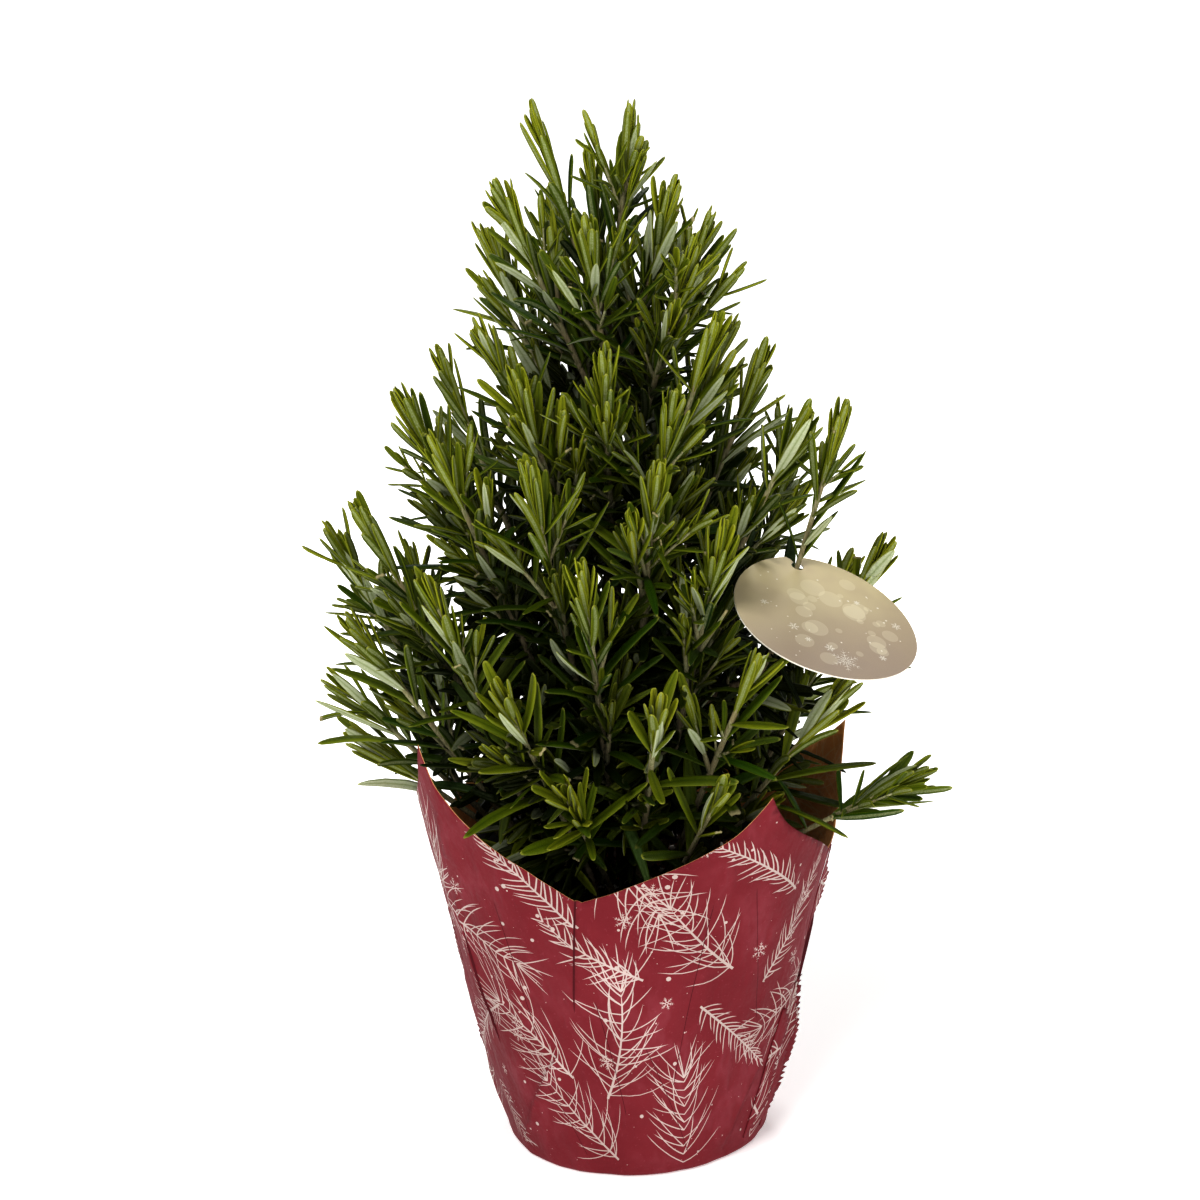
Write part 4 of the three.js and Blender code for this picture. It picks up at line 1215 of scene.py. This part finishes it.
def flat_cover():
    """The cover's sheet, laid flat with its print and folds: corners, triangles and what covers each."""
    foot = [(x, SHEET_FOOT) for x in np.linspace(-SEAM_X, SEAM_X, FOOT_STEPS)]
    named = [(place[0] + 180) % 360 - 180 for place in POINTS + DIPS]
    turns = np.unique(np.round(np.concatenate([np.arange(-180, 180.01, TURN_STEP), named]), 3))
    top = np.stack([turns * ARC, edge_height(turns)], 1)
    sides = np.linspace(SHEET_FOOT, top[0][1], SIDE_STEPS)[1:-1]
    border = [*foot, *[(SEAM_X, y) for y in sides], *top[::-1], *[(-SEAM_X, y) for y in sides[::-1]]]

    shapes = []
    for shape in print_layout():
        inside = np.abs(shape[:, 0]).max() < SEAM_X - 1 and shape[:, 1].min() > SHEET_FOOT + LEAST_TOP
        if inside and np.any(shape[:, 1] < edge_height(shape[:, 0] / ARC)):
            shapes.append(shape)

    lines = []
    for line in PLEATS + CREASES:
        heights = np.linspace(line[3], min(line[1], edge_height(line[0]) - LEAST_TOP), FOLD_STEPS)
        share = (heights - line[3]) / (line[1] - line[3])
        here = (line[2] + (line[0] - line[2]) * share + 180) % 360 - 180
        for away in (-FOLD_HALF, FOLD_HALF):
            lines.append(np.stack([here * ARC + away, heights], 1))

    loose = []
    for row, y in enumerate(np.arange(SHEET_FOOT + GRID, EDGE_HEIGHTS.max() + GRID, GRID)):
        for x in np.arange(-SEAM_X + GRID * (1 + 0.5 * (row % 2)), SEAM_X - GRID / 2, GRID):
            if y < edge_height(x / ARC) - EDGE_ROOM:
                loose.append([x, y])
    return cut_flat(border, shapes, lines, loose)


def add_flaps(skin):
    """The loose layers, each a printed strip that leaves the wall at one side and has a pinked other side."""
    for index, (top, high, foot, low, width, lift) in enumerate(FLAPS):
        rng = np.random.default_rng(SEEDS["flap"] + index)
        long, wide = math.hypot(high - low, (top - foot) * ARC), abs(width)
        share = np.linspace(0, 1, round(long / TOOTH_PITCH))
        teeth = FLAP_TOOTH * ((np.arange(len(share)) % 2) - 0.5) * rng.uniform(0.4, 1.2, len(share))
        torn = np.interp(share, np.linspace(0, 1, 9), rng.uniform(-1.6, 1.4, 9))
        reach = wide * np.sin(np.pi * (0.06 + 0.88 * share)) ** 0.6 + teeth + torn
        bound, free = [np.stack([x, long * share], 1) for x in (0 * share, reach)]
        shapes = []
        for y in np.arange(rng.uniform(-10, 10), long, 27):
            heading = sprig_heading(rng)
            start = np.array([wide * rng.uniform(0, 1), y])
            shapes += pine_spray(rng, start, heading, rng.uniform(24, 34), rng.uniform(14, 20), 0.5)
        loose = [
            [x, y]
            for y in np.arange(1, long, FLAP_GRID)
            for x in np.arange(FLAP_GRID / 2, wide * 1.2, FLAP_GRID)
            if x < np.interp(y / long, share, reach) - 0.7
        ]
        flat, faces, over = cut_flat([*free, *bound[::-1]], shapes, loose=loose)
        if width < 0:
            faces = [face[::-1] for face in faces]
        up, out = flat[:, 1] / long, flat[:, 0] / wide
        off = 0.12 + lift * np.clip(out, 0, 2) ** 1.4 * np.sin(np.pi * np.clip(up, 0.04, 0.96)) ** 0.5
        off += 0.3 * out * np.sin(9 * up + index)
        azimuth = foot + (top - foot) * up + np.sign(width) * flat[:, 0] / ARC
        sides = [paper_place(azimuth, low + (high - low) * up, -o) for o in (off + PAPER, off)]
        slots = [INK if shapes_there else RED for shapes_there in over]
        skin.add_sheet(sides, faces, slots, {RED: KRAFT, INK: KRAFT}, RED)


def add_cover(materials):
    """The sheet bent round its cone and closed below, in two skins with the paper between them."""
    flat, faces, over = flat_cover()
    azimuth = flat[:, 0] / ARC
    left = {round(y, 2): k for k, (x, y) in enumerate(flat) if x < -SEAM_X + 0.01}
    same = {k: left.get(round(y, 2), k) for k, (x, y) in enumerate(flat) if x > SEAM_X - 0.01}
    in_fold = folded(flat[np.array(faces)].mean(axis=1))
    faces = [[same.get(v, v) for v in face] for face in faces]
    # Faces on a fold's steep side take the darker fold paper, as painted shade.
    slots = [FOLD_PAINTED_SHADE if fold else INK if shapes else RED for fold, shapes in zip(in_fold, over)]
    outer = [paper_place(azimuth, flat[:, 1])]
    inner = [paper_place(azimuth, flat[:, 1], PAPER)]

    # Below the wall, rings go round the foot's edge and in to its middle.
    at_foot = {v for face in faces for v in face if flat[v][1] < SHEET_FOOT + 0.01}
    before = sorted(at_foot, key=lambda v: azimuth[v])
    turn = np.radians(azimuth[before])
    wall = np.hypot(outer[0][before, 0] - COVER["tilt"] * SHEET_FOOT, outer[0][before, 1])
    bends = np.radians([25, 50, 75, 90])
    levels = [(wall - SHEET_FOOT * (1 - math.cos(a)), SHEET_FOOT * (1 - math.sin(a))) for a in bends]
    levels += [(wall * share, 0.25 * (1 - share)) for share in (0.8, 0.5, 0.2)]
    count = len(flat)
    for radius, z in levels:
        for side, inset in ((outer, 0.0), (inner, PAPER)):
            r = radius - inset * z / SHEET_FOOT
            rise = z + inset * (1 - z / SHEET_FOOT)
            side.append(ring_at(r, turn, rise) + [COVER["tilt"] * z, 0, 0])
        here = list(range(count, count + len(turn)))
        count += len(turn)
        faces += [list(f) for f in zip(before, here, here[1:] + here[:1], before[1:] + before[:1])]
        before = here
    faces.append(before[::-1])
    slots += [RED] * (len(faces) - len(slots))

    skin = Skin()
    sides = [np.concatenate(side) for side in (outer, inner)]
    skin.add_sheet(sides, faces, slots, {RED: KRAFT, INK: KRAFT_INK, FOLD_PAINTED_SHADE: KRAFT}, KRAFT_INK)
    add_flaps(skin)
    skin.finish("paper_cover", materials, "cover_paper", "cover")


# ---- The card tag ----

GROUND, DISC, DISCS, FLAKE, BOARD = range(5)  # what shows: its gradient, the print on it, or its board
TAG_CARD = 0.6
TAG_BOW = 1.3  # how far its sides bend back
TAG_MOUTH = 2.6  # half the slit's width at the rim, where it is rounded open
TAG_GRID, FULL_GRID = 4, 32  # mm between its loose corners, and how far out they go
BIG_FLAKE = np.array([-3.0, -25.0])
TAG_DISCS, TAG_DOTS = 34, 40


def tag_outline():
    """The round card's edge, with its slit and hole."""
    rim, hole, slit = TAG["radius"], TAG["hole"], TAG["slit"] / 2
    top = math.pi / 2
    outer = np.linspace(top + TAG_MOUTH / rim, top - TAG_MOUTH / rim + 2 * math.pi, 150)
    neck = math.asin(slit / hole)
    inner = np.linspace(top - neck, top + neck - 2 * math.pi, 28)
    lip = np.array([[0.9, -0.5], [0.55, -1.3]]) * [TAG_MOUTH, 1] + [0, rim]
    eye = [0, rim - TAG["inset"]] + hole * arc(inner)
    return np.concatenate([rim * arc(outer), lip, eye, (lip * [-1, 1])[::-1]])


def tag_print():
    """Pale discs of soft light, then white flakes: the outlines, and how many of them are discs."""
    rng = np.random.default_rng(SEEDS["tag"])
    discs = []
    for _ in range(TAG_DISCS):
        at = np.array([rng.normal(4, 16), rng.normal(-2, 12)])
        if np.hypot(*at) < TAG["radius"] - 6:
            discs.append(dot(at, rng.choice([1.4, 2.2, 3.2, 4.4]) * rng.uniform(0.85, 1.15), 28))
    flakes = []
    for turn in np.radians([200, 225, 250, 300, 352, 28, 160]):
        at = rng.uniform(16, 29) * facing(turn)
        flakes += snowflake(at, rng.uniform(1.2, 2.3), rng.uniform(0, 1), 0.34)
    flakes += snowflake(BIG_FLAKE, 6.2, 0.3, 0.3) + snowflake(BIG_FLAKE, 3.4, 0.82, 0.24)
    for _ in range(TAG_DOTS):
        at = rng.uniform(-26, 26, 2)
        if np.hypot(*at) < TAG["radius"] - 3:
            flakes.append(dot(at, rng.uniform(0.15, 0.45), 6))
    return discs + flakes, len(discs)


def add_tag(materials, centre):
    """The card, a little bowed, with its printed face up."""
    shapes, disc_count = tag_print()
    steps = range(-FULL_GRID, FULL_GRID + 1, TAG_GRID)
    loose = [[x, y] for x in steps for y in steps if math.hypot(x, y) < FULL_GRID and (abs(x) > 4 or y < 24)]
    flat, faces, over = cut_flat(tag_outline(), shapes, loose=loose)
    slots = []
    for covering in over:
        discs = sum(k < disc_count for k in covering)
        slots.append(FLAKE if len(covering) > discs else min(discs, DISCS))
    across = np.cross(TAG_UP, TAG_NORMAL)
    bow = -TAG_BOW * (flat[:, 0] / TAG["radius"]) ** 2
    middle = centre + flat[:, :1] * across + flat[:, 1:] * TAG_UP
    sides = [middle + (bow + lift)[:, None] * TAG_NORMAL for lift in (TAG_CARD / 2, -TAG_CARD / 2)]
    card = np.tile(np.pad(flat, ((0, 0), (0, 1))), (2, 1))
    skin = Skin()
    skin.add_sheet(sides, faces, slots, [BOARD] * BOARD, BOARD, card=card)
    skin.finish("round_tag", materials, "tag_card", "card_tag", smooth=False)


# ---- The grower's pot and its soil ----


def lathe(skin, profile, sides):
    """A closed ring of rings round the Z axis through (radius, height) pairs."""
    points = [ring_at(radius, around(sides), z) for radius, z in profile]
    faces = []
    for k in range(len(profile)):
        a, b = k * sides, ((k + 1) % len(profile)) * sides
        faces += [[a + i, a + (i + 1) % sides, b + (i + 1) % sides, b + i] for i in range(sides)]
    skin.add(np.concatenate(points), faces)


POT_SIDES = 96
DRAINS, DRAIN_REACH, DRAIN_RADIUS = 4, 32, 4.5


def add_pot(material):
    """The pot's wall with its rim, and its floor with four drain holes."""
    low, top = POT["from"], POT["from"] + POT["height"]
    shoulder, floor = top - RIM_HIGH, POT["from"] + POT["floor"]
    wall, foot = POT["wall"], pot_radius(low)
    outside = [(pot_radius(z), z) for z in np.linspace(low + 0.6, shoulder - 0.4, 9)]
    inside = [(pot_radius(z) - wall, z) for z in np.linspace(shoulder - 0.6, floor, 9)]
    under = ((0.2, 0), (RIM_OUT - 0.3, 0.7), (RIM_OUT, 1.2))
    over = ((RIM_OUT, 0.7), (RIM_OUT - 0.3, 0.15), (RIM_OUT - 0.8, 0), (0.7 - wall, 0), (0.1 - wall, 0.6))
    rim = [(pot_radius(shoulder) + out, shoulder + up) for out, up in under]
    rim += [(pot_radius(top) + out, top - down) for out, down in over]
    skin = Skin()
    lathe(skin, [(foot - 0.6, low), *outside, *rim, *inside, (foot - wall, low)], POT_SIDES)

    turns = [360 * (k + 0.5) / DRAINS for k in range(DRAINS)]
    drains = [dot(DRAIN_REACH * outward(turn)[:2], DRAIN_RADIUS, 24) for turn in turns]
    flat, faces, over = cut_flat(dot(np.zeros(2), foot - wall / 2, POT_SIDES), drains)
    faces = [face for face, covering in zip(faces, over) if not covering]
    upper = np.column_stack([flat, np.full(len(flat), floor)])
    skin.add_sheet([upper, upper - UP * POT["floor"]], faces, [0] * len(faces), [0], 0)
    skin.finish("plastic_pot", [material], "pot_plastic", "grower_pot")


SOIL_WAVES = [(0.12, 0.5, 0.3), (0.31, 0.5, 1.9), (0.83, 0.35, 4.2), (1.7, 0.25, 2.2)]
SOIL_SIDES, SOIL_RINGS, SOIL_MIDDLE, CRUMB_SIDES = 120, 44, 1.5, 7
CRUMB_LEVELS = ((-1, 0.6), (-0.4, 1), (0.45, 0.95), (1, 0.5))
# What lies in the mix: kind, how many, and the least and the most of its three half sizes (mm).
CRUMBS = [
    (0.5, 230, (1.5, 0.8, 0.4), (4.2, 2.0, 0.9)),
    (1.0, 120, (0.6, 0.6, 0.6), (1.5, 1.5, 1.5)),
    (0.0, 260, (0.5, 0.5, 0.5), (1.6, 1.6, 1.6)),
]


def soil_radius(z):
    return pot_radius(z) - POT["wall"] - GAP


def soil_height(points):
    """A low dome with crumbs and hollows."""
    x, y = points[:, 0], points[:, 1]
    share = np.clip(np.hypot(x, y) / soil_radius(SOIL_TOP), 0, 1)
    height = SOIL_TOP + 0.5 - SOIL_EDGE * share**2.2
    for scale, size, phase in SOIL_WAVES:
        height += size * np.sin(x * scale + phase) * np.sin(y * scale * 1.1 + 2 * phase)
    return height


def add_crumb(skin, rng, at, size, kind):
    """One rough pebble, chip or crumb. Chips and crumbs lie nearly flat."""
    turned = np.linalg.qr(rng.normal(size=(3, 3)))[0]
    shape, turn = [], around(CRUMB_SIDES)
    for level, share in CRUMB_LEVELS:
        wide = share * rng.uniform(0.75, 1.1, CRUMB_SIDES)
        ring = [size[0] * wide * np.cos(turn), size[1] * wide * np.sin(turn), 0 * turn + size[2] * level]
        shape.append(np.stack(ring, 1))
    if kind < 0.7:
        angles = *rng.normal(0, 0.3, 3)[:2], rng.uniform(0, 6.3)
        x, y, z = [Matrix.Rotation(angle, 3, axis) for angle, axis in zip(angles, "XYZ")]
        turned = np.array(x @ y @ z)
    mix = np.array([kind, rng.random(), 0])
    box = [rng.uniform(0, 0.9), rng.uniform(0.65, 0.9), 1, 1]
    skin.add_tubes((np.array(shape) @ turned.T + at)[None], 0, [box], mix=mix)


def add_soil(material):
    rng = np.random.default_rng(SEEDS["soil"])
    skin = Skin()
    turn = around(SOIL_SIDES)
    low, top_radius = SOIL_TOP - SOIL_DEPTH, soil_radius(SOIL_TOP - SOIL_EDGE)
    rings = [ring_at(soil_radius(low), turn, low)]
    for radius in np.linspace(top_radius, SOIL_MIDDLE, SOIL_RINGS):
        rings.append(ring_at(radius, turn, soil_height(ring_at(radius, turn, 0))))
    skin.add_tubes(np.array(rings)[None], 0, [[0, 0, 1, 0.6]], mix=np.zeros(3))
    for pick, (kind, count, *_) in enumerate(CRUMBS):
        for _ in range(count):
            radius = top_radius * 0.96 * math.sqrt(rng.random())
            flat = radius * facing(rng.uniform(0, 2 * math.pi))[None]
            size = [rng.uniform(least, most) for *_, least, most in CRUMBS][pick]
            add_crumb(skin, rng, np.array([*flat[0], soil_height(flat)[0] + size[2] * 0.4]), size, kind)
    skin.finish("potting_mix", [material], "soil", "potting_soil")


# ---- Putting it together ----

add_camera()
add_lamps()
add_world()
STEMS, TAG_CENTRE = place_stems()
LEAF, TWIG = leaf_material(), twig_material()
for number, placed in enumerate(STEMS):
    add_shoot(number, placed, [LEAF, TWIG], TAG_CENTRE)
add_trunk(TWIG)
PAPERS = {
    "cover_red": ("#76222b", "#822b34", "#9b515c"),
    "cover_ink": ("#baa9a2", "#cabab4", "#ddcec9"),
    "cover_kraft": ("#cf8a4c", "#dd9c5f", "#e8b67e"),
    "cover_kraft_ink": ("#d29a64", "#dfac78", "#e9c08e"),
    # Darker red for the folds' steep sides: painted shade.
    "cover_fold_painted_shade": ("#52111a", "#5f1822", "#76222b"),
}
add_cover([paper_material(name, *shades) for name, shades in PAPERS.items()])
CARD = {"tag_base": GROUND, "tag_disc": DISC, "tag_discs": DISCS, "tag_flake": FLAKE, "tag_board": BOARD}
add_tag([tag_material(name, level) for name, level in CARD.items()], TAG_CENTRE)
add_pot(pot_material())
add_soil(soil_material())

FAR = 60  # m from the floor's middle to its edges
floor_mesh = bpy.data.meshes.new("floor")
floor_mesh.from_pydata([(-FAR, -FAR, 0), (FAR, -FAR, 0), (FAR, FAR, 0), (-FAR, FAR, 0)], [], [(0, 1, 2, 3)])
floor_mesh.materials.append(floor_material())
floor = add_object("floor", floor_mesh)
